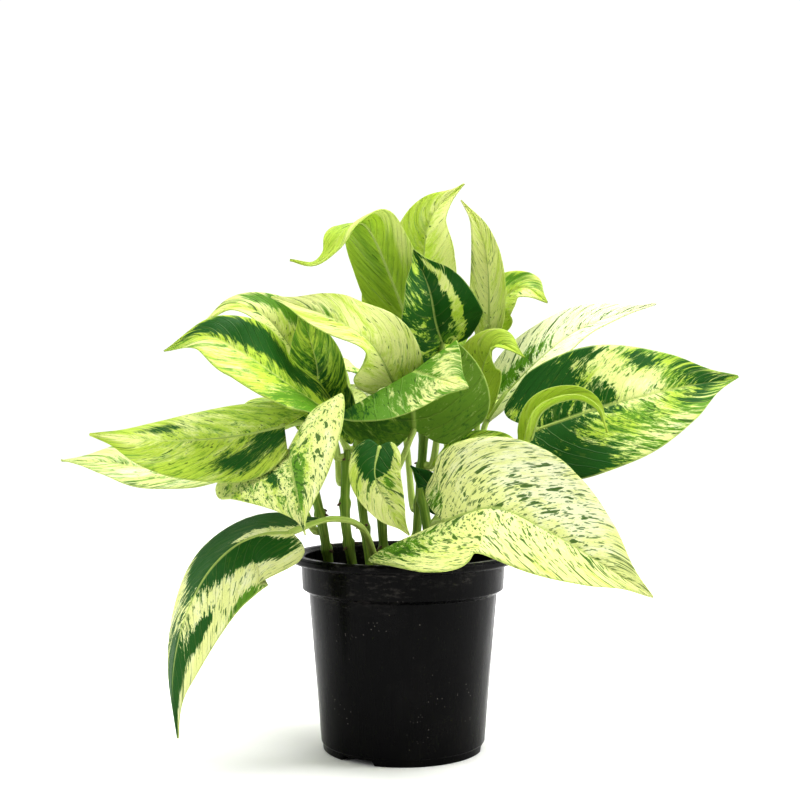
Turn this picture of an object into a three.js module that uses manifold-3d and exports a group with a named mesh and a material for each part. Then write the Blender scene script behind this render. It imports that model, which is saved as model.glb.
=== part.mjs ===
// A potted marbled pothos: a black nursery pot, its potting mix, eight short vines
// and the leaves that they carry. Millimetres, +Z up. The origin is the middle of
// the pot's base, on the surface that it stands on; the plant's front faces -Y.
import * as THREE from 'three';
import { mergeVertices } from 'three/addons/utils/BufferGeometryUtils.js';
import Module from 'manifold-3d';

const wasm = await Module();
wasm.setup();

// ---------------------------------------------------------------- driving sizes
const POT_HEIGHT = 104; // base to the top of the lip
const LIP_RADIUS = 60; // outside of the rolled lip
const LIP_OVERHANG = 6; // lip beyond the collar
const LIP_HEIGHT = 4.4;
const LIP_ROUND = 1.1; // how far the lip's edges are eased
const COLLAR_HEIGHT = 14; // straight band under the lip
const COLLAR_DRAFT = 0.5; // how much wider the collar is at its top
const STEP_HEIGHT = 2.2; // slope from the collar in to the body
const STEP_IN = 3.5;
const BODY_TAPER = 6.7; // how much narrower the body is at its foot
const FOOT_INSET = 1; // standing ring inside the body's foot
const FOOT_HEIGHT = 3.6;
const WALL = 1.3;
const FLOOR = 1.4; // floor between the foot ring and the middle disc
const FOOT_RING_WIDTH = 4;
const MIDDLE_DISC_RADIUS = 14;
const NOTCH_WIDTH = 20; // side drains, cut through the foot ring
const NOTCH_HEIGHT = 2.4;
const NOTCH_COUNT = 3;
const NOTCH_FIRST_ANGLE = 236; // degrees about +Z
const DRAIN_RADIUS = 1.9;
const DRAIN_CIRCLE = 27;
const DRAIN_COUNT = 9;
const SOIL_DEPTH_BELOW_RIM = 13.5;
const SOIL_CROWN = 2; // rise of the soil towards the middle
const VINE_RADIUS = 2.7;
const VINE_PLANTED = 14; // length of each vine under the soil
const PETIOLE_RADIUS = 1.8;
const BLADE_THICKNESS = 0.9;
const PLANT_SCALE = 1; // scales the plant above the mix: its reach and its blades
const GAP = 0.3; // left between pieces that touch

// The vines and leaves are drawn over a pot of this height and lip, and follow the real one.
const DRAWN_POT_HEIGHT = 104;
const DRAWN_LIP_RADIUS = 60;

const POT_SIDES = 40;
const TUBE_SIDES = 6;
const SOCKET_SIDES = 12;
const DRAIN_SIDES = 8;
const BLADE_ROWS = 8;
const BLADE_COLUMNS = 6;
const VINE_STEP = 8; // length of one tube segment
const PETIOLE_STEP = 9;

// ---------------------------------------------------------------- small helpers
const vec = (p) => new THREE.Vector3(...p);
const SPREAD = LIP_RADIUS / DRAWN_LIP_RADIUS;

// A drawn point of the plant, moved to the real pot's rim and scaled about its middle.
function place([x, y, z]) {
  const reach = SPREAD * PLANT_SCALE;
  return new THREE.Vector3(
    x * reach,
    y * reach,
    POT_HEIGHT + (z - DRAWN_POT_HEIGHT) * PLANT_SCALE,
  );
}
const radians = THREE.MathUtils.degToRad;

function toSolid(geometry) {
  const bare = geometry.clone();
  bare.deleteAttribute('normal');
  bare.deleteAttribute('uv');
  const merged = mergeVertices(bare, 1e-4);
  return new wasm.Manifold(
    new wasm.Mesh({
      numProp: 3,
      vertProperties: new Float32Array(merged.attributes.position.array),
      triVerts: new Uint32Array(merged.index.array),
    }),
  );
}

function toGeometry(solid) {
  const mesh = solid.getMesh();
  const geometry = new THREE.BufferGeometry();
  geometry.setAttribute('position', new THREE.BufferAttribute(mesh.vertProperties.slice(), 3));
  geometry.setIndex([...mesh.triVerts]);
  return geometry;
}

// A closed solid turned about +Z from [radius, height] pairs.
function turned(profile, sides = POT_SIDES) {
  const points = profile.map(([r, z]) => new THREE.Vector2(r, z));
  const lathe = new THREE.LatheGeometry(points, sides);
  lathe.rotateX(Math.PI / 2);
  return toSolid(lathe);
}

// A round tube along a smooth curve.
function tube(curve, radius, steps) {
  const section = new THREE.Shape();
  for (let i = 0; i < TUBE_SIDES; i += 1) {
    const angle = (i / TUBE_SIDES) * 2 * Math.PI;
    section[i ? 'lineTo' : 'moveTo'](radius * Math.cos(angle), radius * Math.sin(angle));
  }
  section.closePath();
  return toSolid(
    new THREE.ExtrudeGeometry(section, { steps, extrudePath: curve, curveSegments: 1 }),
  );
}

function piece(name, solid, color, roughness) {
  const material = new THREE.MeshStandardMaterial({ color, roughness, metalness: 0 });
  const mesh = new THREE.Mesh(toGeometry(solid), material);
  mesh.name = name;
  return mesh;
}

// ---------------------------------------------------------------- pot and soil
const COLLAR_RADIUS = LIP_RADIUS - LIP_OVERHANG;
const BODY_RADIUS = COLLAR_RADIUS - STEP_IN;
const BODY_FOOT_RADIUS = BODY_RADIUS - BODY_TAPER;
const FOOT_RADIUS = BODY_FOOT_RADIUS - FOOT_INSET;
const RING_INNER = FOOT_RADIUS - FOOT_RING_WIDTH;
const LIP_UNDERSIDE = POT_HEIGHT - LIP_HEIGHT;
const COLLAR_FOOT = LIP_UNDERSIDE - COLLAR_HEIGHT;
const BODY_TOP = COLLAR_FOOT - STEP_HEIGHT;
const FLOOR_UNDERSIDE = NOTCH_HEIGHT + 0.2;
const FLOOR_TOP = FLOOR_UNDERSIDE + FLOOR;
const SOIL_LEVEL = POT_HEIGHT - SOIL_DEPTH_BELOW_RIM;

// Inside radius of the pot at a height.
function innerRadius(z) {
  if (z >= COLLAR_FOOT) return COLLAR_RADIUS - WALL;
  if (z >= BODY_TOP) {
    const part = (z - BODY_TOP) / STEP_HEIGHT;
    return THREE.MathUtils.lerp(BODY_RADIUS, COLLAR_RADIUS, part) - WALL;
  }
  const part = (z - FLOOR_TOP) / (BODY_TOP - FLOOR_TOP);
  return THREE.MathUtils.lerp(BODY_FOOT_RADIUS, BODY_RADIUS, part) - WALL;
}

function nurseryPot() {
  const draft = 1; // slope of the ring and disc under the floor
  const foot = [
    [0, 0],
    [MIDDLE_DISC_RADIUS, 0],
    [MIDDLE_DISC_RADIUS + draft, FLOOR_UNDERSIDE],
    [RING_INNER - draft, FLOOR_UNDERSIDE],
    [RING_INNER, 0],
    [FOOT_RADIUS, 0],
    [FOOT_RADIUS, FOOT_HEIGHT],
    [BODY_FOOT_RADIUS, FOOT_HEIGHT + FOOT_INSET / 2],
  ];
  const outside = [
    [BODY_RADIUS, BODY_TOP],
    [COLLAR_RADIUS, COLLAR_FOOT],
    [COLLAR_RADIUS + COLLAR_DRAFT, LIP_UNDERSIDE - LIP_ROUND],
    [LIP_RADIUS - LIP_ROUND, LIP_UNDERSIDE],
    [LIP_RADIUS, LIP_UNDERSIDE + LIP_ROUND],
    [LIP_RADIUS, POT_HEIGHT - LIP_ROUND],
    [LIP_RADIUS - LIP_ROUND, POT_HEIGHT],
  ];
  const inside = [
    [COLLAR_RADIUS + LIP_ROUND, POT_HEIGHT],
    [innerRadius(COLLAR_FOOT), POT_HEIGHT - LIP_ROUND],
    [innerRadius(COLLAR_FOOT), COLLAR_FOOT],
    [innerRadius(BODY_TOP), BODY_TOP],
    [innerRadius(FLOOR_TOP), FLOOR_TOP],
    [0, FLOOR_TOP],
  ];
  let pot = turned([...foot, ...outside, ...inside]);
  for (let i = 0; i < NOTCH_COUNT; i += 1) {
    const box = new THREE.BoxGeometry(FOOT_RING_WIDTH * 3, NOTCH_WIDTH, NOTCH_HEIGHT * 2);
    box.translate(FOOT_RADIUS - FOOT_RING_WIDTH / 2, 0, 0);
    box.rotateZ(radians(NOTCH_FIRST_ANGLE) + (i / NOTCH_COUNT) * 2 * Math.PI);
    pot = pot.subtract(toSolid(box));
  }
  for (let i = 0; i < DRAIN_COUNT; i += 1) {
    const hole = new THREE.CylinderGeometry(DRAIN_RADIUS, DRAIN_RADIUS, FLOOR_TOP * 4, DRAIN_SIDES);
    hole.rotateX(Math.PI / 2);
    hole.translate(DRAIN_CIRCLE, 0, 0);
    hole.rotateZ((i / DRAIN_COUNT) * 2 * Math.PI);
    pot = pot.subtract(toSolid(hole));
  }
  return pot;
}

function pottingMix(vineSockets) {
  const edge = innerRadius(SOIL_LEVEL) - GAP;
  let soil = turned([
    [0, FLOOR_TOP + GAP],
    [innerRadius(FLOOR_TOP + GAP) - GAP, FLOOR_TOP + GAP],
    [innerRadius(BODY_TOP) - GAP, BODY_TOP],
    [innerRadius(COLLAR_FOOT) - GAP, COLLAR_FOOT + GAP],
    [edge, SOIL_LEVEL],
    [edge * 0.6, SOIL_LEVEL + SOIL_CROWN * 0.75],
    [0, SOIL_LEVEL + SOIL_CROWN],
  ]);
  vineSockets.forEach((socket) => {
    soil = soil.subtract(socket);
  });
  return soil;
}

// ---------------------------------------------------------------- vines
// Each vine's foot, in plan at the top of the mix, and its points above that.
const VINES = {
  vine_1: { foot: [-38, -16], route: [[-43, -22, 125], [-49, -28, 150]] },
  vine_2: { foot: [-25, -22], route: [[-30, -26, 125], [-29, -22, 160]] },
  vine_3: { foot: [-9, -12], route: [[-11, -14, 120], [-12, -12, 150]] },
  vine_4: { foot: [12, -18], route: [[13, -20, 115], [9, -18, 140]] },
  vine_5: { foot: [30, -6], route: [[35, -8, 130], [37, -4, 160]] },
  vine_6: { foot: [6, 14], route: [[9, 18, 130], [12, 14, 175]] },
  vine_7: { foot: [-18, 20], route: [[-23, 26, 130], [-25, 24, 168]] },
  vine_8: { foot: [26, 26], route: [[29, 33, 125], [28, 36, 155]] },
};

function vineCurve(name) {
  const [x, y] = VINES[name].foot;
  const foot = new THREE.Vector3(x * SPREAD, y * SPREAD, SOIL_LEVEL);
  const root = foot.clone().setZ(SOIL_LEVEL - VINE_PLANTED);
  const points = [root, foot, ...VINES[name].route.map(place)];
  return new THREE.CatmullRomCurve3(points, false, 'centripetal');
}

// ---------------------------------------------------------------- leaves
// A leaf's midrib runs from its petiole joint to its tip. `face` is the way its upper
// side looks, evenly spaced from the joint to the tip. `half` is half its width. `fold` raises its
// two halves, in degrees, `curl` bends them on towards the margins, and `lobe` is how far
// each half reaches back past the joint, as a share of the midrib. `taper` narrows a blade
// towards its tip. A `crease` folds the part beyond the line from `from` to `to` over.
const LEAVES = {
  leaf_front_right: {
    midrib: [[19, -60, 126], [44, -72, 134], [68, -80, 124], [119, -80, 92]],
    face: [[0, -0.75, 0.65], [0.2, -0.75, 0.6]],
    half: 36, lobe: [0.33, 0.06], fold: [16, 20], curl: [-10, 10],
    vine: 'vine_4', at: 0.45, via: [[15, -40, 122]],
  },
  leaf_right: {
    midrib: [[68, -38, 171], [99, -44, 182], [125, -42, 189], [172, -32, 198]],
    face: [[-0.1, -0.9, 0.45], [0, -0.9, 0.45]],
    half: 35, lobe: [0.12, 0.12], fold: [8, 8], curl: [-10, -10],
    vine: 'vine_5', at: 0.6, via: [[50, -24, 150]],
  },
  leaf_young_right: {
    midrib: [[63, -50, 166], [69, -54, 181], [85, -56, 187], [96, -56, 182], [102, -54, 170]],
    face: [[-0.6, -0.5, 0.6], [0.6, -0.5, 0.6]],
    half: 8, lobe: [0.1, 0.1], fold: [40, 40], curl: [40, 40],
    vine: 'vine_5', at: 0.5, via: [[48, -36, 148]],
  },
  leaf_right_pale: {
    midrib: [[56, 10, 189], [72, 10, 206], [97, 12, 225], [139, 14, 239]],
    face: [[-0.5, -0.5, 0.7], [-0.2, -0.5, 0.8]],
    half: 22, lobe: [0.2, 0.2], fold: [15, 15], curl: [0, 0],
    vine: 'vine_5', at: 0.85, via: [[44, 0, 172]],
  },
  leaf_centre_curled: {
    midrib: [[42, 4, 186], [44, 6, 206], [51, 2, 216], [65, -6, 209]],
    face: [[-0.4, -0.8, 0.3], [0, -0.4, 0.9]],
    half: 16, lobe: [0.2, 0.2], fold: [20, 20], curl: [20, 20],
    vine: 'vine_5', at: 0.95, via: [[41, 8, 178]],
  },
  leaf_centre_folded: {
    midrib: [[6, -22, 170], [4, -17, 196], [1, -12, 220], [-2, -7, 236]],
    face: [[0, 0.95, -0.2], [0, 0.95, -0.2]],
    half: 41, lobe: [0.15, 0.12], fold: [0, 0], curl: [8, 8],
    crease: { from: [-27, -22, 175], to: [35, -12, 217], over: [0, -1, 0.1], turn: 150, radius: 3 },
    rows: 14, columns: 10,
    vine: 'vine_3', at: 0.9, via: [[-3, -24, 150]],
  },
  leaf_front_left: {
    midrib: [[-57, -60, 161], [-54, -73, 152], [-50, -83, 139], [-46, -92, 123]],
    face: [[-0.78, -0.62, 0.35], [-0.5, -0.85, 0.2]],
    half: 51, taper: 0.88, lobe: [0.4, 0.15], fold: [27, 0], curl: [-10, -10],
    vine: 'vine_1', at: 0.9, via: [[-50, -36, 154]],
  },
  leaf_left: {
    midrib: [[-59, -55, 173], [-84, -55, 168], [-115, -57, 166], [-156, -53, 169]],
    face: [[0, -0.8, 0.6], [0, -0.8, 0.6]],
    half: 27, lobe: [0.14, 0.0], fold: [-20, 0], curl: [0, 0],
    vine: 'vine_1', at: 0.97, via: [[-50, -36, 173]],
  },
  leaf_left_low: {
    midrib: [[-92, -10, 153], [-131, 0, 149], [-159, 5, 152], [-186, 8, 153]],
    face: [[0, -0.55, 0.8], [0, -0.55, 0.8]],
    half: 25, lobe: [0.2, 0.2], fold: [10, 10], curl: [0, 0],
    vine: 'vine_1', at: 0.55, via: [[-66, -14, 152]],
  },
  leaf_left_upper: {
    midrib: [[-42, -24, 182], [-61, -41, 196], [-81, -51, 210], [-98, -51, 218], [-121, -42, 211]],
    face: [[-0.3, -0.6, 0.7], [-0.3, -0.5, 0.8]],
    half: 28, lobe: [0.1, -0.1], fold: [12, 6], curl: [0, 0],
    vine: 'vine_2', at: 0.95, via: [[-36, -23, 172]],
  },
  leaf_left_inner: {
    midrib: [[-39, -2, 173], [-45, -6, 189], [-46, -6, 204], [-56, 4, 238]],
    face: [[-0.2, -0.9, 0.3], [-0.2, -0.9, 0.3]],
    half: 18, lobe: [0.2, 0.2], fold: [10, 10], curl: [0, 0],
    vine: 'vine_2', at: 0.8, via: [[-35, -12, 160]],
  },
  leaf_left_high: {
    midrib: [[-50, 12, 194], [-62, 10, 216], [-77, 4, 233], [-93, 0, 236], [-106, -4, 228]],
    face: [[-0.3, -0.6, 0.7], [-0.2, -0.6, 0.8]],
    half: 20, lobe: [0.2, 0.2], fold: [15, 15], curl: [0, 0],
    vine: 'vine_7', at: 0.9, via: [[-40, 20, 180]],
  },
  leaf_middle_left: {
    midrib: [[-4, -6, 193], [-17, -18, 216], [-36, -28, 228], [-69, -19, 240]],
    face: [[-0.3, -0.7, 0.6], [-0.2, -0.7, 0.7]],
    half: 21, lobe: [0.1, -0.05], fold: [10, 20], curl: [0, 0],
    vine: 'vine_3', at: 0.97, via: [[-8, -8, 170]],
  },
  leaf_top_hook: {
    midrib: [[6, 33, 221], [-2, 28, 242], [-12, 17, 266], [-21, 6, 282], [-32, -8, 276], [-38, -16, 264], [-47, -20, 257], [-59, -22, 259]],
    face: [[-0.2, 0.9, 0.4], [-0.2, -0.6, 0.8]],
    half: 18.5, lobe: [0.0, 0.0], fold: [10, 10], curl: [0, 0],
    vine: 'vine_6', at: 0.97, via: [[14, 10, 192]],
  },
  leaf_middle_dark: {
    midrib: [[22, 24, 217], [18, 13, 228], [14, 1, 246], [5.5, 2, 267]],
    face: [[0.1, -0.95, 0.2], [0.1, -0.95, 0.15]],
    half: 27, lobe: [0.05, 0.05], fold: [14, 28], curl: [0, 0],
    vine: 'vine_6', at: 0.75, via: [[20, 9, 188]],
  },
  leaf_top_back: {
    midrib: [[13, 45, 244], [12, 48, 268], [17, 46, 292], [35, 40, 309]],
    face: [[-0.2, -0.9, 0.3], [-0.4, -0.8, 0.5]],
    half: 21, lobe: [0.15, 0.15], fold: [15, 15], curl: [0, 0],
    vine: 'vine_6', at: 0.9, via: [[20, 42, 205]],
  },
  leaf_top_right: {
    midrib: [[48, 26, 227], [48, 27, 250], [46, 27, 270], [41, 22, 284], [32, 16, 296]],
    face: [[-0.3, -0.9, 0.3], [-0.2, -0.9, 0.4]],
    half: 10.5, lobe: [0.15, 0.15], fold: [15, 15], curl: [0, 0],
    vine: 'vine_8', at: 0.95, via: [[34, 26, 190]],
  },
  leaf_right_high: {
    midrib: [[44, 38, 228], [56, 35, 243], [68, 29, 249], [80, 20, 240]],
    face: [[-0.2, -0.7, 0.7], [0, -0.6, 0.8]],
    half: 17.5, lobe: [0.2, 0.2], fold: [0, 15], curl: [0, 0],
    vine: 'vine_8', at: 0.8, via: [[32, 38, 190]],
  },
  leaf_front_hanging: {
    midrib: [[-12, -50, 163], [-14, -58, 149], [-8, -62, 135], [3, -56, 119]],
    face: [[0, -0.9, 0.4], [0, -0.95, 0.1]],
    half: 13, lobe: [0.05, 0.05], fold: [5, 5], curl: [0, 0],
    vine: 'vine_3', at: 0.75, via: [[-6, -36, 150]],
  },
  leaf_low_left: {
    midrib: [[-55, -52, 120], [-77, -48, 117], [-95, -54, 103], [-108, -58, 78], [-114, -58, 48], [-112, -54, 18]],
    face: [[-0.1, -0.75, 0.65], [-0.6, -0.75, 0.2]],
    half: 30, lobe: [0.1, 0.05], fold: [-35, 0], curl: [0, 0],
    vine: 'vine_3', at: 0.28, via: [[-21, -31, 120], [-36, -44, 126]],
  },
  leaf_small_dark: {
    midrib: [[20, -4, 130], [12, -8, 143], [4, -8, 151]],
    face: [[-0.2, -0.9, 0.4], [-0.2, -0.9, 0.4]],
    half: 8, lobe: [0.2, 0.2], fold: [10, 10], curl: [0, 0],
    vine: 'vine_4', at: 0.7, via: [[19, -10, 126]],
  },
  leaf_right_speckled: {
    midrib: [[25, -12, 152], [41, -14, 161], [53, -18, 162], [65, -20, 157]],
    face: [[0, -0.6, 0.8], [0, -0.6, 0.8]],
    half: 13, lobe: [0.2, 0.2], fold: [10, 10], curl: [0, 0],
    vine: 'vine_4', at: 0.95, via: [[17, -18, 146]],
  },
  leaf_inner_grey: {
    midrib: [[-10, 30, 180], [-16, 34, 191], [-27, 36, 193]],
    face: [[-0.2, -0.8, 0.5], [-0.2, -0.8, 0.5]],
    half: 9, lobe: [0.2, 0.2], fold: [10, 10], curl: [0, 0],
    vine: 'vine_7', at: 0.85, via: [[-14, 26, 168]],
  },
  leaf_inner_yellow: {
    midrib: [[-8, 50, 230], [-16, 52, 245], [-22, 48, 259]],
    face: [[-0.2, -0.9, 0.3], [-0.2, -0.9, 0.3]],
    half: 10, lobe: [0.2, 0.2], fold: [10, 10], curl: [0, 0],
    vine: 'vine_7', at: 0.97, via: [[-6, 46, 200]],
  },
  leaf_back_left: {
    midrib: [[-48, 36, 178], [-66, 52, 182], [-84, 68, 174], [-98, 80, 158]],
    face: [[-0.2, 0.3, 0.9], [-0.4, 0.4, 0.8]],
    half: 25, lobe: [0.2, 0.2], fold: [12, 12], curl: [-10, -10],
    vine: 'vine_7', at: 0.75, via: [[-34, 30, 165]],
  },
  leaf_back_middle: {
    midrib: [[-10, 60, 190], [-14, 78, 188], [-18, 96, 174], [-20, 106, 152]],
    face: [[0, 0.4, 0.9], [0, 0.9, 0.4]],
    half: 26, lobe: [0.2, 0.2], fold: [10, 10], curl: [-10, -10],
    vine: 'vine_6', at: 0.5, via: [[0, 44, 172]],
  },
  leaf_back_right: {
    midrib: [[46, 48, 180], [62, 62, 186], [78, 76, 180], [92, 90, 162]],
    face: [[0.2, 0.3, 0.9], [0.4, 0.5, 0.7]],
    half: 24, lobe: [0.2, 0.2], fold: [12, 12], curl: [-10, -10],
    vine: 'vine_8', at: 0.6, via: [[36, 44, 165]],
  },
  leaf_back_high: {
    midrib: [[18, 56, 222], [20, 74, 226], [24, 92, 220], [28, 108, 204]],
    face: [[0, 0.4, 0.9], [0, 0.7, 0.7]],
    half: 24, lobe: [0.2, 0.2], fold: [12, 12], curl: [-10, -10],
    vine: 'vine_8', at: 0.97, via: [[24, 46, 190]],
  },
  leaf_back_low: {
    midrib: [[30, 58, 146], [42, 74, 148], [54, 88, 138], [64, 98, 120]],
    face: [[0.1, 0.4, 0.9], [0.3, 0.8, 0.5]],
    half: 22, lobe: [0.2, 0.2], fold: [12, 12], curl: [-10, -10],
    vine: 'vine_8', at: 0.35, via: [[30, 46, 138]],
  },
  leaf_back_left_high: {
    midrib: [[-34, 58, 204], [-48, 72, 212], [-60, 86, 208], [-70, 98, 194]],
    face: [[-0.2, 0.4, 0.9], [-0.3, 0.6, 0.7]],
    half: 22, lobe: [0.2, 0.2], fold: [12, 12], curl: [-10, -10],
    vine: 'vine_7', at: 0.6, via: [[-28, 44, 180]],
  },
};

// Half-width of a blade along its length, as a share of its widest half.
const OUTLINE = [[0, 0.6], [0.1, 0.9], [0.27, 1], [0.5, 0.87], [0.72, 0.54], [0.87, 0.2], [1, 0.015]];

function outlineAt(s) {
  const last = OUTLINE.length - 1;
  const k = Math.max(0, OUTLINE.findIndex(([at]) => at >= s) - 1);
  const at = (i) => OUTLINE[THREE.MathUtils.clamp(i, 0, last)];
  const part = (s - at(k)[0]) / (at(k + 1)[0] - at(k)[0]);
  const slope = (i) => (at(i + 1)[1] - at(i - 1)[1]) / (at(i + 1)[0] - at(i - 1)[0]);
  const step = at(k + 1)[0] - at(k)[0];
  const p2 = part * part;
  const p3 = p2 * part;
  return (
    (2 * p3 - 3 * p2 + 1) * at(k)[1] +
    (p3 - 2 * p2 + part) * step * slope(k) +
    (3 * p2 - 2 * p3) * at(k + 1)[1] +
    (p3 - p2) * step * slope(k + 1)
  );
}

// How far a base lobe reaches back at a place across the blade, from 0 to 1.
const LOBE_SPAN = 0.82;
const LOBE_POWER = 1.15;
const lobeAt = (across) => Math.sin(Math.PI * Math.min(1, across * LOBE_SPAN) ** LOBE_POWER);

function faceAt(leaf, u) {
  const spans = leaf.face.length - 1;
  const k = Math.min(Math.floor(u * spans), spans - 1);
  return vec(leaf.face[k]).lerp(vec(leaf.face[k + 1]), u * spans - k);
}

// Folds the part of a blade beyond its crease over, round a small radius.
function creased(point, crease) {
  const start = place(crease.from);
  const ridge = place(crease.to).sub(start).normalize();
  const over = vec(crease.over).addScaledVector(ridge, -vec(crease.over).dot(ridge)).normalize();
  const ahead = over.clone().cross(ridge).normalize();
  const offset = point.clone().sub(start);
  const beyond = offset.dot(ahead);
  if (beyond <= 0) return point;
  const turn = Math.min(beyond / crease.radius, radians(crease.turn));
  const flat = beyond - crease.radius * turn;
  const height = offset.dot(over);
  const forward = crease.radius * Math.sin(turn) + flat * Math.cos(turn);
  const lift = crease.radius * (1 - Math.cos(turn)) + flat * Math.sin(turn);
  return point
    .clone()
    .addScaledVector(ahead, forward - beyond - height * Math.sin(turn))
    .addScaledVector(over, lift + height * (Math.cos(turn) - 1));
}

function bladePoint(leaf, curve, s, t) {
  const length = curve.getLength();
  const across = Math.abs(t);
  const back = leaf.lobe[t < 0 ? 0 : 1] * lobeAt(across) * (1 - s) ** 3;
  const along = s - back;
  const u = THREE.MathUtils.clamp(along, 0, 1);
  const centre = curve.getPointAt(u);
  const tangent = curve.getTangentAt(u);
  if (along < 0) centre.addScaledVector(tangent, along * length);
  const side = faceAt(leaf, u).cross(tangent).normalize();
  const normal = tangent.clone().cross(side).normalize();
  const half = t < 0 ? 0 : 1;
  const reach = outlineAt(s) * across * (1 - (leaf.taper ?? 0) * s);
  const rise = radians(leaf.fold[half] + (leaf.curl[half] / 2) * reach);
  const distance = reach * leaf.half * PLANT_SCALE;
  centre.addScaledVector(side, Math.sign(t) * distance * Math.cos(rise));
  centre.addScaledVector(normal, distance * Math.sin(rise));
  return leaf.crease ? creased(centre, leaf.crease) : centre;
}

// The blade is a thin closed sheet: an upper and a lower grid joined round the margin.
function blade(leaf) {
  const curve = new THREE.CatmullRomCurve3(leaf.midrib.map(place), false, 'centripetal');
  const rows = leaf.rows ?? BLADE_ROWS;
  const cuts = leaf.columns ?? BLADE_COLUMNS;
  const columns = cuts + 1;
  const grid = [];
  for (let i = 0; i <= rows; i += 1) {
    for (let j = 0; j < columns; j += 1) {
      grid.push(bladePoint(leaf, curve, i / rows, (2 * j) / cuts - 1));
    }
  }
  const at = (i, j) => i * columns + j;
  const cells = [];
  for (let i = 0; i < rows; i += 1) {
    for (let j = 0; j < cuts; j += 1) {
      cells.push([at(i, j), at(i + 1, j), at(i + 1, j + 1)]);
      cells.push([at(i, j), at(i + 1, j + 1), at(i, j + 1)]);
    }
  }
  const normals = grid.map(() => new THREE.Vector3());
  const [ab, ac] = [new THREE.Vector3(), new THREE.Vector3()];
  cells.forEach(([a, b, c]) => {
    ab.subVectors(grid[b], grid[a]);
    ac.subVectors(grid[c], grid[a]);
    const normal = ab.clone().cross(ac);
    [a, b, c].forEach((k) => normals[k].add(normal));
  });
  normals.forEach((normal) => normal.normalize());
  const upper = grid.map((p, k) => p.clone().addScaledVector(normals[k], BLADE_THICKNESS / 2));
  const lower = grid.map((p, k) => p.clone().addScaledVector(normals[k], -BLADE_THICKNESS / 2));
  const count = grid.length;
  const rim = [];
  for (let i = 0; i <= rows; i += 1) rim.push(at(i, 0));
  for (let j = 1; j < columns; j += 1) rim.push(at(rows, j));
  for (let i = rows - 1; i >= 0; i -= 1) rim.push(at(i, cuts));
  for (let j = cuts - 1; j > 0; j -= 1) rim.push(at(0, j));
  const faces = [];
  cells.forEach(([a, b, c]) => faces.push(a, b, c, a + count, c + count, b + count));
  rim.forEach((a, k) => {
    const b = rim[(k + 1) % rim.length];
    faces.push(b, a, a + count, b, a + count, b + count);
  });
  const geometry = new THREE.BufferGeometry().setFromPoints([...upper, ...lower]);
  geometry.setIndex(faces);
  return { solid: toSolid(geometry), curve };
}

const PETIOLE_JOINT = 0.015; // where the petiole ends, as a share of the midrib
const PETIOLE_MIN_STEPS = 5;

// The petiole starts GAP away from its vine and ends inside the blade's joint.
function petiole(leaf, curve) {
  const vine = vineCurve(leaf.vine);
  const stem = vine.getPointAt(leaf.at);
  const bends = leaf.via.map(place);
  const axis = vine.getTangentAt(leaf.at);
  const out = bends[0].clone().sub(stem);
  out.addScaledVector(axis, -out.dot(axis)).normalize();
  const foot = stem.clone().addScaledVector(out, VINE_RADIUS + GAP);
  const near = foot.clone().addScaledVector(out, PETIOLE_RADIUS * 1.5);
  const joint = curve.getPointAt(PETIOLE_JOINT);
  const points = [foot, near, ...bends, joint];
  const path = new THREE.CatmullRomCurve3(points, false, 'centripetal');
  const steps = Math.max(PETIOLE_MIN_STEPS, Math.round(path.getLength() / PETIOLE_STEP));
  return tube(path, PETIOLE_RADIUS, steps);
}

// ---------------------------------------------------------------- assembly
const plant = new THREE.Group();
plant.name = 'potted_pothos';
plant.add(piece('nursery_pot', nurseryPot(), 0x0b0b0c, 0.35));

// Each vine stands in a socket in the mix, GAP wider all round and below.
const sockets = [];
Object.keys(VINES).forEach((name) => {
  const curve = vineCurve(name);
  const steps = Math.round(curve.getLength() / VINE_STEP);
  const root = curve.getPointAt(0);
  const wide = VINE_RADIUS + 2 * GAP;
  const foot = new THREE.CylinderGeometry(wide, wide, 1, SOCKET_SIDES);
  foot.rotateX(Math.PI / 2).translate(root.x, root.y, root.z);
  sockets.push(tube(curve, VINE_RADIUS + 1.4 * GAP, steps).add(toSolid(foot)));
  plant.add(piece(name, tube(curve, VINE_RADIUS, steps), 0x9fb35a, 0.5));
});
plant.add(piece('potting_mix', pottingMix(sockets), 0x2a1c12, 0.95));

Object.entries(LEAVES).forEach(([name, leaf]) => {
  const { solid, curve } = blade(leaf);
  plant.add(piece(name, solid.add(petiole(leaf, curve)), 0xc9d98a, 0.4));
});

export default plant;
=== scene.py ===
"""A marble-variegated pothos in a black nursery pot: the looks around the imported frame.

Sizes are in millimetres in the tables and in metres on the meshes. The origin is the
middle of the pot's base and the plant's front faces -Y.
"""

from __future__ import annotations

import logging
import math
import random
from bisect import bisect_right
from dataclasses import dataclass, field
from enum import Enum

import bmesh
import bpy
from mathutils import Matrix, Vector, noise


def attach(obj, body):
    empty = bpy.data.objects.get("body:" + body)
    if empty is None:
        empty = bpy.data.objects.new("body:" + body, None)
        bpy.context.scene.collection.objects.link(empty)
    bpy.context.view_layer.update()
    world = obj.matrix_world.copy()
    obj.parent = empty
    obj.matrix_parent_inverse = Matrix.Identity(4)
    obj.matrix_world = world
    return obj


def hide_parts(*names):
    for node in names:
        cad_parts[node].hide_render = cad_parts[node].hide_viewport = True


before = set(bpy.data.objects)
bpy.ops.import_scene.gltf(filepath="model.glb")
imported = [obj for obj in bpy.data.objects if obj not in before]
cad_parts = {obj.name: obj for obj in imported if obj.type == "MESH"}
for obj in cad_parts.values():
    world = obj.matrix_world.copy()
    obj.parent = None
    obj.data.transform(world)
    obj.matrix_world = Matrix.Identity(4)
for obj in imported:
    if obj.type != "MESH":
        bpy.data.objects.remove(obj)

log = logging.getLogger("potted_pothos")

Point = tuple[float, float, float]
Route = tuple[Point, ...]
Pair = tuple[float, float]
Colour = tuple[float, float, float]

MM = 0.001
ROOT_BODY = "root"
DOUBLES = 1e-6


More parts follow.
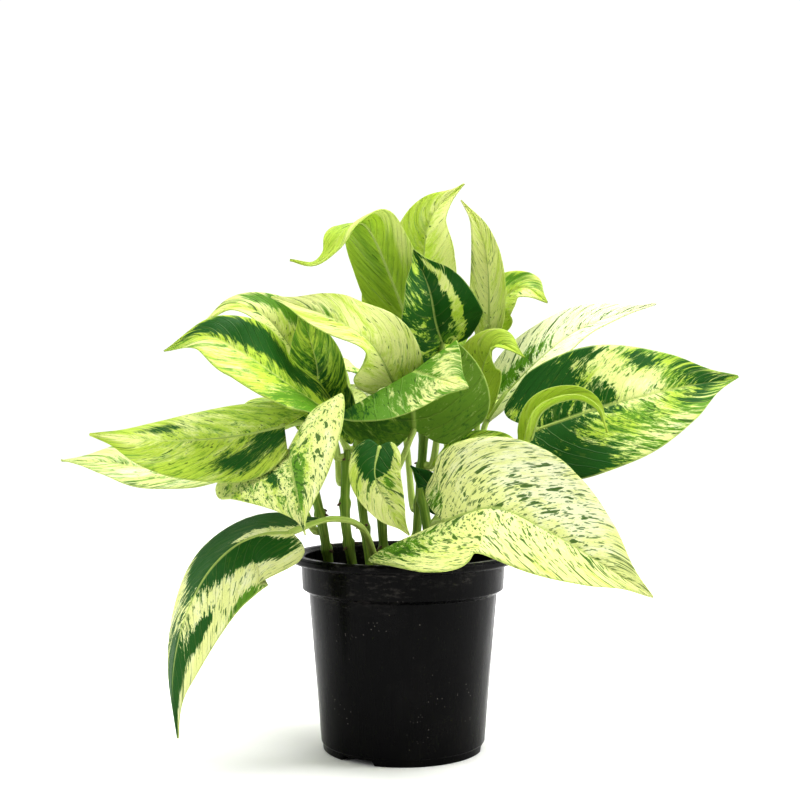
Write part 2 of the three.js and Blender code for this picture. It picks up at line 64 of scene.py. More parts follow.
# ------------------------------------------------------------------ curves
class SmoothCurve:
    """A centripetal Catmull-Rom curve through points, walked by its length."""

    DIVISIONS = 200
    NUDGE = 1e-4

    def __init__(self, points: Route | list[Vector]) -> None:
        """Measures the curve.

        Args:
            points: the points that the curve passes through, in millimetres.
        """
        self.points = [Vector(p) for p in points]
        samples = [self._at(i / self.DIVISIONS) for i in range(self.DIVISIONS + 1)]
        self.lengths = [0.0]
        for before, after in zip(samples, samples[1:]):
            self.lengths.append(self.lengths[-1] + (after - before).length)

    @property
    def length(self) -> float:
        """The curve's whole length in millimetres."""
        return self.lengths[-1]

    def _at(self, t: float) -> Vector:
        """The point at parameter t.

        Args:
            t: the curve's own parameter, from 0 to 1.

        Returns:
            The point in millimetres.
        """
        pts = self.points
        last = len(pts) - 1
        place = max(0.0, min(1.0, t)) * last
        k = min(int(place), last - 1)
        w = place - k
        before = pts[k - 1] if k > 0 else 2 * pts[0] - pts[1]
        after = pts[k + 2] if k + 2 <= last else 2 * pts[last] - pts[last - 1]
        p1, p2 = pts[k], pts[k + 1]
        d1 = (p2 - p1).length_squared ** 0.25
        d0 = (p1 - before).length_squared ** 0.25
        d2 = (after - p2).length_squared ** 0.25
        t1 = ((p1 - before) / d0 - (p2 - before) / (d0 + d1) + (p2 - p1) / d1) * d1
        t2 = ((p2 - p1) / d1 - (after - p1) / (d1 + d2) + (after - p2) / d2) * d1
        c2 = -3 * p1 + 3 * p2 - 2 * t1 - t2
        c3 = 2 * p1 - 2 * p2 + t1 + t2
        return p1 + t1 * w + c2 * w * w + c3 * w**3

    def _parameter(self, u: float) -> float:
        """The parameter at a share of the length.

        Args:
            u: share of the length, from 0 to 1.

        Returns:
            The curve's own parameter.
        """
        target = max(0.0, min(1.0, u)) * self.length
        k = min(max(bisect_right(self.lengths, target) - 1, 0), self.DIVISIONS - 1)
        span = self.lengths[k + 1] - self.lengths[k]
        return (k + (target - self.lengths[k]) / span) / self.DIVISIONS

    def point(self, u: float) -> Vector:
        """The point at a share u of the length."""
        return self._at(self._parameter(u))

    def tangent(self, u: float) -> Vector:
        """The curve's direction.

        Args:
            u: share of the length, from 0 to 1.

        Returns:
            The unit direction there.
        """
        t = self._parameter(u)
        low, high = max(0.0, t - self.NUDGE), min(1.0, t + self.NUDGE)
        return (self._at(high) - self._at(low)).normalized()


def between(low: float, high: float, part: float) -> float:
    """The value that lies a share part of the way from low to high."""
    return low + (high - low) * part


def smooth_step(low: float, high: float, value: float) -> float:
    """0 below low, 1 above high, and an even S between them."""
    part = max(0.0, min(1.0, (value - low) / (high - low)))
    return part * part * (3 - 2 * part)


# ------------------------------------------------------------------ mesh helpers
def add_tube(
    bm: bmesh.types.BMesh,
    path: SmoothCurve,
    radii: list[tuple[float, float]],
    sides: int,
    steps: int,
    material: int = 0,
    flat: float = 1.0,
) -> list[bmesh.types.BMVert]:
    """Adds a closed tube along a path, wrapped from a grid.

    Args:
        bm: the mesh to add to, in metres.
        path: the route, in millimetres.
        radii: (share of length, radius in millimetres) pairs in order.
        sides: faces round the tube.
        steps: faces along it.
        material: the material slot of its faces.
        flat: thickness of the section as a share of its width.

    Returns:
        The tube's vertices.
    """
    made = bmesh.ops.create_grid(bm, x_segments=sides, y_segments=steps, size=1.0)["verts"]
    along = bm.verts.layers.float_vector["place"]
    first = path.tangent(0)
    across = first.orthogonal().normalized()
    stations: list[tuple[Vector, Vector, Vector, float]] = []
    for k in range(steps + 1):
        u = k / steps
        ahead = path.tangent(u)
        across = (across - ahead * across.dot(ahead)).normalized()
        stations.append((path.point(u), across.copy(), ahead.cross(across), radius_at(radii, u)))
    for vert in made:
        k = round((vert.co.y + 1) / 2 * steps)
        angle = (vert.co.x + 1) * math.pi
        centre, right, up, radius = stations[k]
        spot = centre + right * (radius * math.cos(angle)) + up * (radius * flat * math.sin(angle))
        vert[along] = (angle / math.tau, k / steps, 0)
        vert.co = spot * MM
    bmesh.ops.remove_doubles(bm, verts=made, dist=DOUBLES)
    made = [v for v in made if v.is_valid]
    rims = {e for v in made for e in v.link_edges if e.is_boundary}
    bmesh.ops.holes_fill(bm, edges=list(rims), sides=0)
    faces = list({f for v in made for f in v.link_faces})
    bmesh.ops.recalc_face_normals(bm, faces=faces)
    for face in faces:
        face.material_index = material
        face.smooth = True
    return made


def radius_at(radii: list[tuple[float, float]], u: float) -> float:
    """The radius at a share of the length.

    Args:
        radii: (share of length, radius) pairs in order.
        u: share of the length.

    Returns:
        The radius, smoothly between the pairs.
    """
    for (low, first), (high, second) in zip(radii, radii[1:]):
        if u <= high:
            return between(first, second, smooth_step(low, high, u))
    return radii[-1][1]


def as_object(
    bm: bmesh.types.BMesh, name: str, materials: list[bpy.types.Material]
) -> bpy.types.Object:
    """Makes an object of a mesh, with its place in its mesh.

    Args:
        bm: the finished mesh, which is freed.
        name: the object's name.
        materials: its material slots in order.

    Returns:
        The object, linked to the scene.
    """
    mesh = bpy.data.meshes.new(name)
    bm.to_mesh(mesh)
    bm.free()
    for material in materials:
        mesh.materials.append(material)
    piece = bpy.data.objects.new(name, mesh)
    bpy.context.scene.collection.objects.link(piece)
    return piece


def new_mesh() -> bmesh.types.BMesh:
    """An empty mesh with the vector attributes that the finishes read.

    Returns:
        The mesh.
    """
    bm = bmesh.new()
    for name in ("place", "marbling", "tones", "cast"):
        bm.verts.layers.float_vector.new(name)
    return bm


def settle(piece: bpy.types.Object, nodes: tuple[str, ...]) -> None:
    """Ties a piece to the frame.

    Args:
        piece: the finished object.
        nodes: the CAD nodes that it stands for.
    """
    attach(piece, ROOT_BODY)
    if nodes:
        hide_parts(*nodes)
    log.info("%s: %d faces", piece.name, len(piece.data.polygons))


# ------------------------------------------------------------------ node helper
class Sheet:
    """One material's node tree, with short ways to add nodes to it."""

    def __init__(self, name: str) -> None:
        """Starts a material with a Principled shader.

        Args:
            name: the material's name.
        """
        self.material = bpy.data.materials.new(name)
        self.material.use_nodes = True
        self.tree = self.material.node_tree
        self.shader = self.tree.nodes["Principled BSDF"]
        self.output = self.tree.nodes["Material Output"]

    def node(self, kind: str, **settings: object) -> bpy.types.Node:
        """Adds a node and sets its properties.

        Args:
            kind: the node's type.
            **settings: its properties by name.

        Returns:
            The node.
        """
        made = self.tree.nodes.new(kind)
        for key, value in settings.items():
            setattr(made, key, value)
        return made

    def feed(self, socket: bpy.types.NodeSocket, value: object) -> None:
        """Links a socket, or sets it where value is plain.

        Args:
            socket: the input.
            value: an output socket, a number, or a colour or vector.
        """
        if isinstance(value, bpy.types.NodeSocket):
            self.tree.links.new(value, socket)
        elif isinstance(value, tuple) and len(value) == 3 and socket.type == "RGBA":
            socket.default_value = (*value, 1.0)
        else:
            socket.default_value = value

    def attribute(self, name: str) -> bpy.types.NodeSocket:
        """The vector of a mesh attribute."""
        return self.node("ShaderNodeAttribute", attribute_name=name).outputs["Vector"]

    def spot(self) -> bpy.types.NodeSocket:
        """The point's place in the object's own space."""
        return self.node("ShaderNodeTexCoord").outputs["Object"]

    def parts(self, vector: bpy.types.NodeSocket) -> list[bpy.types.NodeSocket]:
        """The three numbers of a vector.

        Args:
            vector: the vector.

        Returns:
            Its x, y and z sockets.
        """
        split = self.node("ShaderNodeSeparateXYZ")
        self.feed(split.inputs[0], vector)
        return list(split.outputs)

    def math(self, operation: str, *values: object) -> bpy.types.NodeSocket:
        """A Math node's result.

        Args:
            operation: the node's operation.
            *values: its one to three numbers or sockets.

        Returns:
            The result.
        """
        made = self.node("ShaderNodeMath", operation=operation)
        for socket, value in zip(made.inputs, values):
            self.feed(socket, value)
        return made.outputs[0]

    def stretch(self, vector: bpy.types.NodeSocket, scale: Point) -> bpy.types.NodeSocket:
        """A vector scaled along its three axes.

        Args:
            vector: the vector.
            scale: the factor on each axis.

        Returns:
            The scaled vector.
        """
        made = self.node("ShaderNodeMapping")
        self.feed(made.inputs["Vector"], vector)
        made.inputs["Scale"].default_value = scale
        return made.outputs[0]

    def cloud(
        self,
        vector: bpy.types.NodeSocket,
        scale: float,
        detail: float = 3,
        rough: float = 0.55,
        twist: float = 0.0,
    ) -> bpy.types.NodeSocket:
        """Fractal noise from 0 to 1.

        Args:
            vector: where to read it.
            scale: its size, as cycles to a unit of vector.
            detail: its octaves.
            rough: how strong the small octaves are.
            twist: how much its pattern is pulled about.

        Returns:
            The noise value.
        """
        made = self.node("ShaderNodeTexNoise")
        self.feed(made.inputs["Vector"], vector)
        made.inputs["Scale"].default_value = scale
        made.inputs["Detail"].default_value = detail
        made.inputs["Roughness"].default_value = rough
        made.inputs["Distortion"].default_value = twist
        return made.outputs["Fac"]

    def cells(self, vector: bpy.types.NodeSocket, scale: float) -> bpy.types.NodeSocket:
        """Distance to the nearest point of a Voronoi pattern.

        Args:
            vector: where to read it.
            scale: its size, as cells to a unit of vector.

        Returns:
            The distance.
        """
        made = self.node("ShaderNodeTexVoronoi")
        self.feed(made.inputs["Vector"], vector)
        made.inputs["Scale"].default_value = scale
        return made.outputs["Distance"]

    def ease(
        self, value: object, low: float, high: float, to_low: float = 0.0, to_high: float = 1.0
    ) -> bpy.types.NodeSocket:
        """A smooth step of value.

        Args:
            value: what is stepped.
            low: where the step starts.
            high: where it ends.
            to_low: the result at low.
            to_high: the result at high.

        Returns:
            The stepped value.
        """
        made = self.node("ShaderNodeMapRange", interpolation_type="SMOOTHSTEP")
        for key, number in (
            ("Value", value), ("From Min", low), ("From Max", high),
            ("To Min", to_low), ("To Max", to_high),
        ):
            self.feed(made.inputs[key], number)
        return made.outputs[0]

    def blend(self, share: object, first: object, second: object) -> bpy.types.NodeSocket:
        """Two colours mixed.

        Args:
            share: how much of the second there is, from 0 to 1.
            first: the first colour.
            second: the second colour.

        Returns:
            The mixed colour.
        """
        made = self.node("ShaderNodeMix", data_type="RGBA")
        self.feed(made.inputs[0], share)
        self.feed(made.inputs[6], first)
        self.feed(made.inputs[7], second)
        return made.outputs[2]

    def sway(self, cloud: object, amount: float, base: object) -> bpy.types.NodeSocket:
        """A value moved up and down by a cloud pattern.

        Args:
            cloud: the pattern, about 0.5.
            amount: how far it moves the value.
            base: the value.

        Returns:
            The moved value.
        """
        return self.math("MULTIPLY_ADD", self.math("SUBTRACT", cloud, 0.5), amount, base)

    def relief(self, height: object, depth: float, under: object = None) -> bpy.types.NodeSocket:
        """A bump of the given depth in metres over another one.

        Args:
            height: the relief from 0 to 1.
            depth: what 1 stands for, in metres.
            under: a normal to build on.

        Returns:
            The bumped normal.
        """
        made = self.node("ShaderNodeBump")
        made.inputs["Distance"].default_value = depth
        self.feed(made.inputs["Height"], height)
        if under is not None:
            self.feed(made.inputs["Normal"], under)
        return made.outputs[0]

    def dress(
        self, colour: object, roughness: object, normal: object = None, shine: float = 0.5
    ) -> None:
        """Feeds the shader.

        Args:
            colour: the surface's colour.
            roughness: its roughness.
            normal: its bumped normal.
            shine: its specular level, where 0.5 is the shader's own.
        """
        self.feed(self.shader.inputs["Base Color"], colour)
        self.feed(self.shader.inputs["Roughness"], roughness)
        if normal is not None:
            self.feed(self.shader.inputs["Normal"], normal)
        self.shader.inputs["Specular IOR Level"].default_value = shine

    def glow_through(self, colour: object, share: float, normal: object = None) -> None:
        """Lets light from behind through the surface.

        Args:
            colour: the colour of the light that comes through.
            share: how much of the surface passes light.
            normal: the bumped normal.
        """
        thin = self.node("ShaderNodeBsdfTranslucent")
        self.feed(thin.inputs["Color"], colour)
        if normal is not None:
            self.feed(thin.inputs["Normal"], normal)
        both = self.node("ShaderNodeMixShader")
        both.inputs[0].default_value = share
        self.feed(both.inputs[1], self.shader.outputs[0])
        self.feed(both.inputs[2], thin.outputs[0])
        self.feed(self.output.inputs["Surface"], both.outputs[0])


# ------------------------------------------------------------------ finishes
@dataclass(frozen=True)
class BlackPlastic:
    """Blow-moulded black polypropylene with a film of dust and splashed mix."""

    base: Colour = (0.0008, 0.0008, 0.0009)
    dust: Colour = (0.05, 0.046, 0.042)
    soil: Colour = (0.12, 0.11, 0.1)
    gloss: float = 0.27
    shine: float = 0.09
    collar_foot: float = 0.083
    rim: float = 0.104

    def material(self) -> bpy.types.Material:
        """Builds the finish.

        Returns:
            The finished material.
        """
        sheet = Sheet("black_plastic")
        spot = sheet.spot()
        height = sheet.parts(spot)[2]
        film = sheet.ease(sheet.cloud(spot, 22, 5, 0.65), 0.46, 0.66)
        upper = sheet.ease(height, self.collar_foot - 0.02, self.rim)
        smudge = sheet.ease(sheet.cloud(sheet.stretch(spot, (1, 1, 2.6)), 150, 5, 0.75), 0.5, 0.7)
        smudge = sheet.math("MULTIPLY", smudge, sheet.math("MULTIPLY", film, upper))
        specks = sheet.ease(sheet.cells(spot, 420), 0.2, 0.06)
        rare = sheet.ease(sheet.cloud(spot, 55, 2), 0.6, 0.66)
        specks = sheet.math("MULTIPLY", specks, rare)
        colour = sheet.blend(sheet.math("MULTIPLY", film, 0.06), self.base, self.dust)
        colour = sheet.blend(sheet.math("MULTIPLY", smudge, 0.55), colour, self.soil)
        colour = sheet.blend(specks, colour, self.soil)
        drag = sheet.cloud(sheet.stretch(spot, (1, 1, 0.12)), 240, 4, 0.6)
        rough = sheet.ease(drag, 0.3, 0.75, self.gloss - 0.05, self.gloss + 0.09)
        rough = sheet.math("ADD", rough, sheet.math("MULTIPLY", smudge, 0.4))
        ripple = sheet.relief(sheet.cloud(sheet.stretch(spot, (1, 1, 0.3)), 45, 2), 0.0004)
        grain = sheet.relief(sheet.cloud(spot, 1400, 3, 0.6), 0.00004, ripple)
        sheet.dress(colour, rough, grain, self.shine)
        return sheet.material


@dataclass(frozen=True)
class PottingEarth:
    """Dark peat and coir."""

    dark: Colour = (0.012, 0.008, 0.006)
    light: Colour = (0.085, 0.052, 0.03)
    shine: float = 0.2

    def material(self) -> bpy.types.Material:
        """Builds the finish.

        Returns:
            The finished material.
        """
        sheet = Sheet("potting_earth")
        spot = sheet.spot()
        coarse = sheet.cloud(spot, 190, 6, 0.7)
        fibre = sheet.cloud(sheet.stretch(spot, (1, 0.25, 1)), 900, 3)
        colour = sheet.blend(sheet.ease(coarse, 0.35, 0.7), self.dark, self.light)
        colour = sheet.blend(sheet.ease(fibre, 0.6, 0.75, 0, 0.5), colour, self.light)
        normal = sheet.relief(coarse, 0.0016)
        normal = sheet.relief(fibre, 0.0003, normal)
        sheet.dress(colour, sheet.ease(coarse, 0.3, 0.8, 0.98, 0.8), normal, self.shine)
        return sheet.material


@dataclass(frozen=True)
class Crumb:
    """Loose bits on the mix: bark or white perlite."""

    name: str
    dark: Colour
    light: Colour
    scale: float = 700

    def material(self) -> bpy.types.Material:
        """Builds the finish.

        Returns:
            The finished material.
        """
        sheet = Sheet(self.name)
        spot = sheet.spot()
        tone = sheet.cloud(spot, self.scale, 4, 0.65)
        colour = sheet.blend(sheet.ease(tone, 0.35, 0.65), self.dark, self.light)
        sheet.dress(colour, sheet.ease(tone, 0.3, 0.7, 0.95, 0.7), sheet.relief(tone, 0.0005))
        return sheet.material


@dataclass(frozen=True)
class GreenStem:
    """Fresh stem skin: pale streaked green, browner where it is old."""

    name: str
    pale: Colour = (0.3, 0.4, 0.07)
    green: Colour = (0.12, 0.24, 0.025)
    brown: Colour = (0.13, 0.085, 0.035)
    brown_share: float = 0.25
    glow: float = 0.12
    shine: float = 0.25

    def material(self) -> bpy.types.Material:
        """Builds the finish.

        Returns:
            The finished material.
        """
        sheet = Sheet(self.name)
        spot = sheet.spot()
        place = sheet.attribute("place")
        streak = sheet.cloud(sheet.stretch(place, (14, 1.3, 1)), 1.6, 4, 0.6)
        blotch = sheet.cloud(spot, 120, 4, 0.6)
        colour = sheet.blend(sheet.ease(streak, 0.35, 0.65), self.pale, self.green)
        old = sheet.ease(blotch, 0.72 - 0.3 * self.brown_share, 0.8, 0, self.brown_share * 2)
        colour = sheet.blend(old, colour, self.brown)
        pores = sheet.ease(sheet.cells(spot, 900), 0.1, 0.3)
        ribs = sheet.cloud(sheet.stretch(place, (30, 0.6, 1)), 1, 3)
        normal = sheet.relief(ribs, 0.0003)
        normal = sheet.relief(pores, 0.00005, normal)
        sheet.dress(colour, sheet.ease(blotch, 0.3, 0.7, 0.36, 0.52), normal, self.shine)
        sheet.glow_through(colour, self.glow, normal)
        return sheet.material


@dataclass(frozen=True)
class MarbledLeaf:
    """Waxy leaf skin: cream ground, yellow-green clouds, green areas and dark flecks.

    The areas follow the mesh attributes: `tones` holds the bias to green, to dark and to
    cream, `marbling` the place in millimetres along and across the veins, `place` the
    place across (-1 to 1) and along (0 to 1) the blade and how flecked it is, and `cast`
    the softness of the areas' edges and their size.
    """

    name: str
    ivory: Colour = (0.92, 0.93, 0.7)
    cream: Colour = (0.84, 0.87, 0.42)
    lime: Colour = (0.58, 0.72, 0.1)
    green: Colour = (0.17, 0.37, 0.03)
    dark: Colour = (0.025, 0.145, 0.014)
    fleck: Colour = (0.07, 0.18, 0.02)
    vein: Colour = (0.66, 0.76, 0.26)
    dull: Colour = (0.3, 0.42, 0.1)
    dullness: float = 0.0
    gloss: float = 0.38
    shine: float = 0.22
    glow: float = 0.36
    vein_relief: float = 0.00022
    veins_per_mm: float = 0.13
    vein_wander: float = 5.0

    def marbled(
        self, sheet: Sheet, marbling: bpy.types.NodeSocket, flecked: bpy.types.NodeSocket
    ) -> bpy.types.NodeSocket:
        """The ground with its clouds, areas and flecks.

        Args:
            sheet: the material's nodes.
            marbling: millimetres along and across the veins.
            flecked: how flecked the place is.

        Returns:
            The colour.
        """
        to_green, to_dark, to_cream = sheet.parts(sheet.attribute("tones"))
        soft, size, _ = sheet.parts(sheet.attribute("cast"))
        scaled = self.shaded(sheet, marbling, size)
        feather = sheet.stretch(scaled, (1, 0.6, 1))
        clouds = sheet.cloud(scaled, 0.06, 4, 0.6)
        streaks = sheet.cloud(feather, 0.15, 6, 0.7, 1.0)
        fine = sheet.cloud(feather, 0.6, 4, 0.65, 0.5)

        ground = sheet.sway(fine, 0.9, sheet.sway(clouds, 1.4, to_cream))
        colour = sheet.blend(sheet.ease(ground, 0.15, 0.6), self.lime, self.cream)
        colour = sheet.blend(sheet.ease(ground, 0.7, 1.2), colour, self.ivory)

        low = sheet.math("SUBTRACT", 0.5, soft)
        high = sheet.math("ADD", 0.5, soft)
        for bias, tone in ((to_green, self.green), (to_dark, self.dark)):
            area = sheet.sway(fine, 0.7, sheet.sway(streaks, 1.5, bias))
            colour = sheet.blend(sheet.ease(area, low, high), colour, tone)

        grown = sheet.stretch(marbling, (1, 0.6, 1))
        specks = sheet.math("MULTIPLY_ADD", flecked, 0.08, sheet.cloud(grown, 0.62, 2, 0.6, 0.3))
        colour = sheet.blend(sheet.ease(specks, 0.68, 0.73, 0, 0.75), colour, self.fleck)
        drops = sheet.math("MULTIPLY_ADD", flecked, 0.06, sheet.cloud(grown, 0.27, 2, 0.5, 0.4))
        return sheet.blend(sheet.ease(drops, 0.7, 0.73, 0, 0.9), colour, self.fleck)

    def material(self) -> bpy.types.Material:
        """Builds the finish.

        Returns:
            The finished material.
        """
        sheet = Sheet(self.name)
        marbling = sheet.attribute("marbling")
        across, along, flecked = sheet.parts(sheet.attribute("place"))
        colour = self.marbled(sheet, marbling, flecked)
        grain = sheet.ease(sheet.cloud(marbling, 3.2, 3, 0.7), 0.3, 0.7, 0.9, 1.08)
        colour = self.shaded(sheet, colour, grain)

        from_rib = sheet.math("ABSOLUTE", across)
        rib = sheet.ease(from_rib, 0.045, 0.012)
        rib = sheet.math("MULTIPLY", rib, sheet.ease(along, 0.98, 0.7))
        veins = self.side_veins(sheet, marbling)
        vein_share = sheet.math("MULTIPLY", veins, sheet.ease(from_rib, 0.95, 0.3, 0, 0.13))
        colour = sheet.blend(vein_share, colour, self.vein)
        colour = sheet.blend(sheet.math("MULTIPLY", rib, 0.6), colour, self.vein)
        margin = sheet.ease(from_rib, 0.972, 0.995, 0, 0.6)
        colour = sheet.blend(margin, colour, self.vein)
        colour = sheet.blend(self.dullness, colour, self.dull)

        pebbled = sheet.cells(marbling, 2.2)
        normal = sheet.relief(veins, self.vein_relief)
        normal = sheet.relief(pebbled, 0.00009, normal)
        waxy = sheet.cloud(marbling, 0.3, 4, 0.6)
        rough = sheet.ease(waxy, 0.3, 0.7, self.gloss - 0.05, self.gloss + 0.1)
        sheet.dress(colour, rough, normal, self.shine)
        sheet.glow_through(colour, self.glow, normal)
        return sheet.material

    @staticmethod
    def shaded(
        sheet: Sheet, colour: bpy.types.NodeSocket, grain: bpy.types.NodeSocket
    ) -> bpy.types.NodeSocket:
        """A colour made lighter and darker by a grain.

        Args:
            sheet: the material's nodes.
            colour: the colour.
            grain: the factor, about 1.

        Returns:
            The grained colour.
        """
        made = sheet.node("ShaderNodeVectorMath", operation="SCALE")
        sheet.feed(made.inputs[0], colour)
        sheet.feed(made.inputs["Scale"], grain)
        return made.outputs[0]

    def side_veins(self, sheet: Sheet, marbling: bpy.types.NodeSocket) -> bpy.types.NodeSocket:
        """Thin curved veins that leave the midrib at an even spacing.

        Args:
            sheet: the material's nodes.
            marbling: millimetres along and across the veins.

        Returns:
            1 on a vein and 0 between two.
        """
        along = sheet.parts(marbling)[0]
        wander = sheet.cloud(marbling, 0.08, 2)
        place = sheet.math("MULTIPLY_ADD", wander, self.vein_wander, along)
        place = sheet.math("MULTIPLY", place, self.veins_per_mm)
        saw = sheet.math("PINGPONG", place, 0.5)
        return sheet.ease(saw, 0.075, 0.0)


@dataclass(frozen=True)
class PaleFloor:
    """Matt white board."""

    white: Colour = (0.99, 0.99, 0.985)
    shade: float = 0.985
    shine: float = 0.1

    def material(self) -> bpy.types.Material:
        """Builds the finish.

        Returns:
            The finished material.
        """
        sheet = Sheet("pale_floor")
        spot = sheet.spot()
        tooth = sheet.cloud(spot, 40, 4)
        grey = tuple(self.shade * part for part in self.white)
        colour = sheet.blend(sheet.ease(tooth, 0.3, 0.7), self.white, grey)
        sheet.dress(colour, 0.9, sheet.relief(tooth, 0.00005), self.shine)
        return sheet.material


# ------------------------------------------------------------------ leaf shapes
@dataclass(frozen=True)
class Crease:
    """A fold over a straight ridge: beyond it the blade turns back over itself."""

    start: Point
    end: Point
    over: Point
    turn: float
    radius: float

    def bend(self, point: Vector) -> Vector:
        """Moves a point that lies beyond the ridge.

        Args:
            point: the flat place, in millimetres.

        Returns:
            The folded place.
        """
        start = Vector(self.start)
        ridge = (Vector(self.end) - start).normalized()
        over = Vector(self.over)
        over = (over - ridge * over.dot(ridge)).normalized()
        ahead = over.cross(ridge).normalized()
        offset = point - start
        beyond = offset.dot(ahead)
        if beyond <= 0:
            return point
        turn = min(beyond / self.radius, math.radians(self.turn))
        flat = beyond - self.radius * turn
        height = offset.dot(over)
        forward = self.radius * math.sin(turn) + flat * math.cos(turn)
        lift = self.radius * (1 - math.cos(turn)) + flat * math.sin(turn)
        moved = point + ahead * (forward - beyond - height * math.sin(turn))
        return moved + over * (lift + height * (math.cos(turn) - 1))


@dataclass(frozen=True)
class LeafShape:
    """A blade's form, as the frame has it.

    The midrib runs from the petiole's joint to the tip and `face` is the way that the
    upper side looks along it. `lobe`, `fold` and `curl` hold the two halves' values.
    """

    midrib: Route
    face: Route
    half: float
    lobe: Pair
    fold: Pair
    curl: Pair
    vine: str
    at: float
    via: Route
    taper: float = 0.0
    crease: Crease | None = None


VINE_ROUTES: dict[str, Route] = {
    "vine_1": ((-38, -16, 90.5), (-43, -22, 125), (-49, -28, 150),),
    "vine_2": ((-25, -22, 90.5), (-30, -26, 125), (-29, -22, 160),),
    "vine_3": ((-9, -12, 90.5), (-11, -14, 120), (-12, -12, 150),),
    "vine_4": ((12, -18, 90.5), (13, -20, 115), (9, -18, 140),),
    "vine_5": ((30, -6, 90.5), (35, -8, 130), (37, -4, 160),),
    "vine_6": ((6, 14, 90.5), (9, 18, 130), (12, 14, 175),),
    "vine_7": ((-18, 20, 90.5), (-23, 26, 130), (-25, 24, 168),),
    "vine_8": ((26, 26, 90.5), (29, 33, 125), (28, 36, 155),),
}

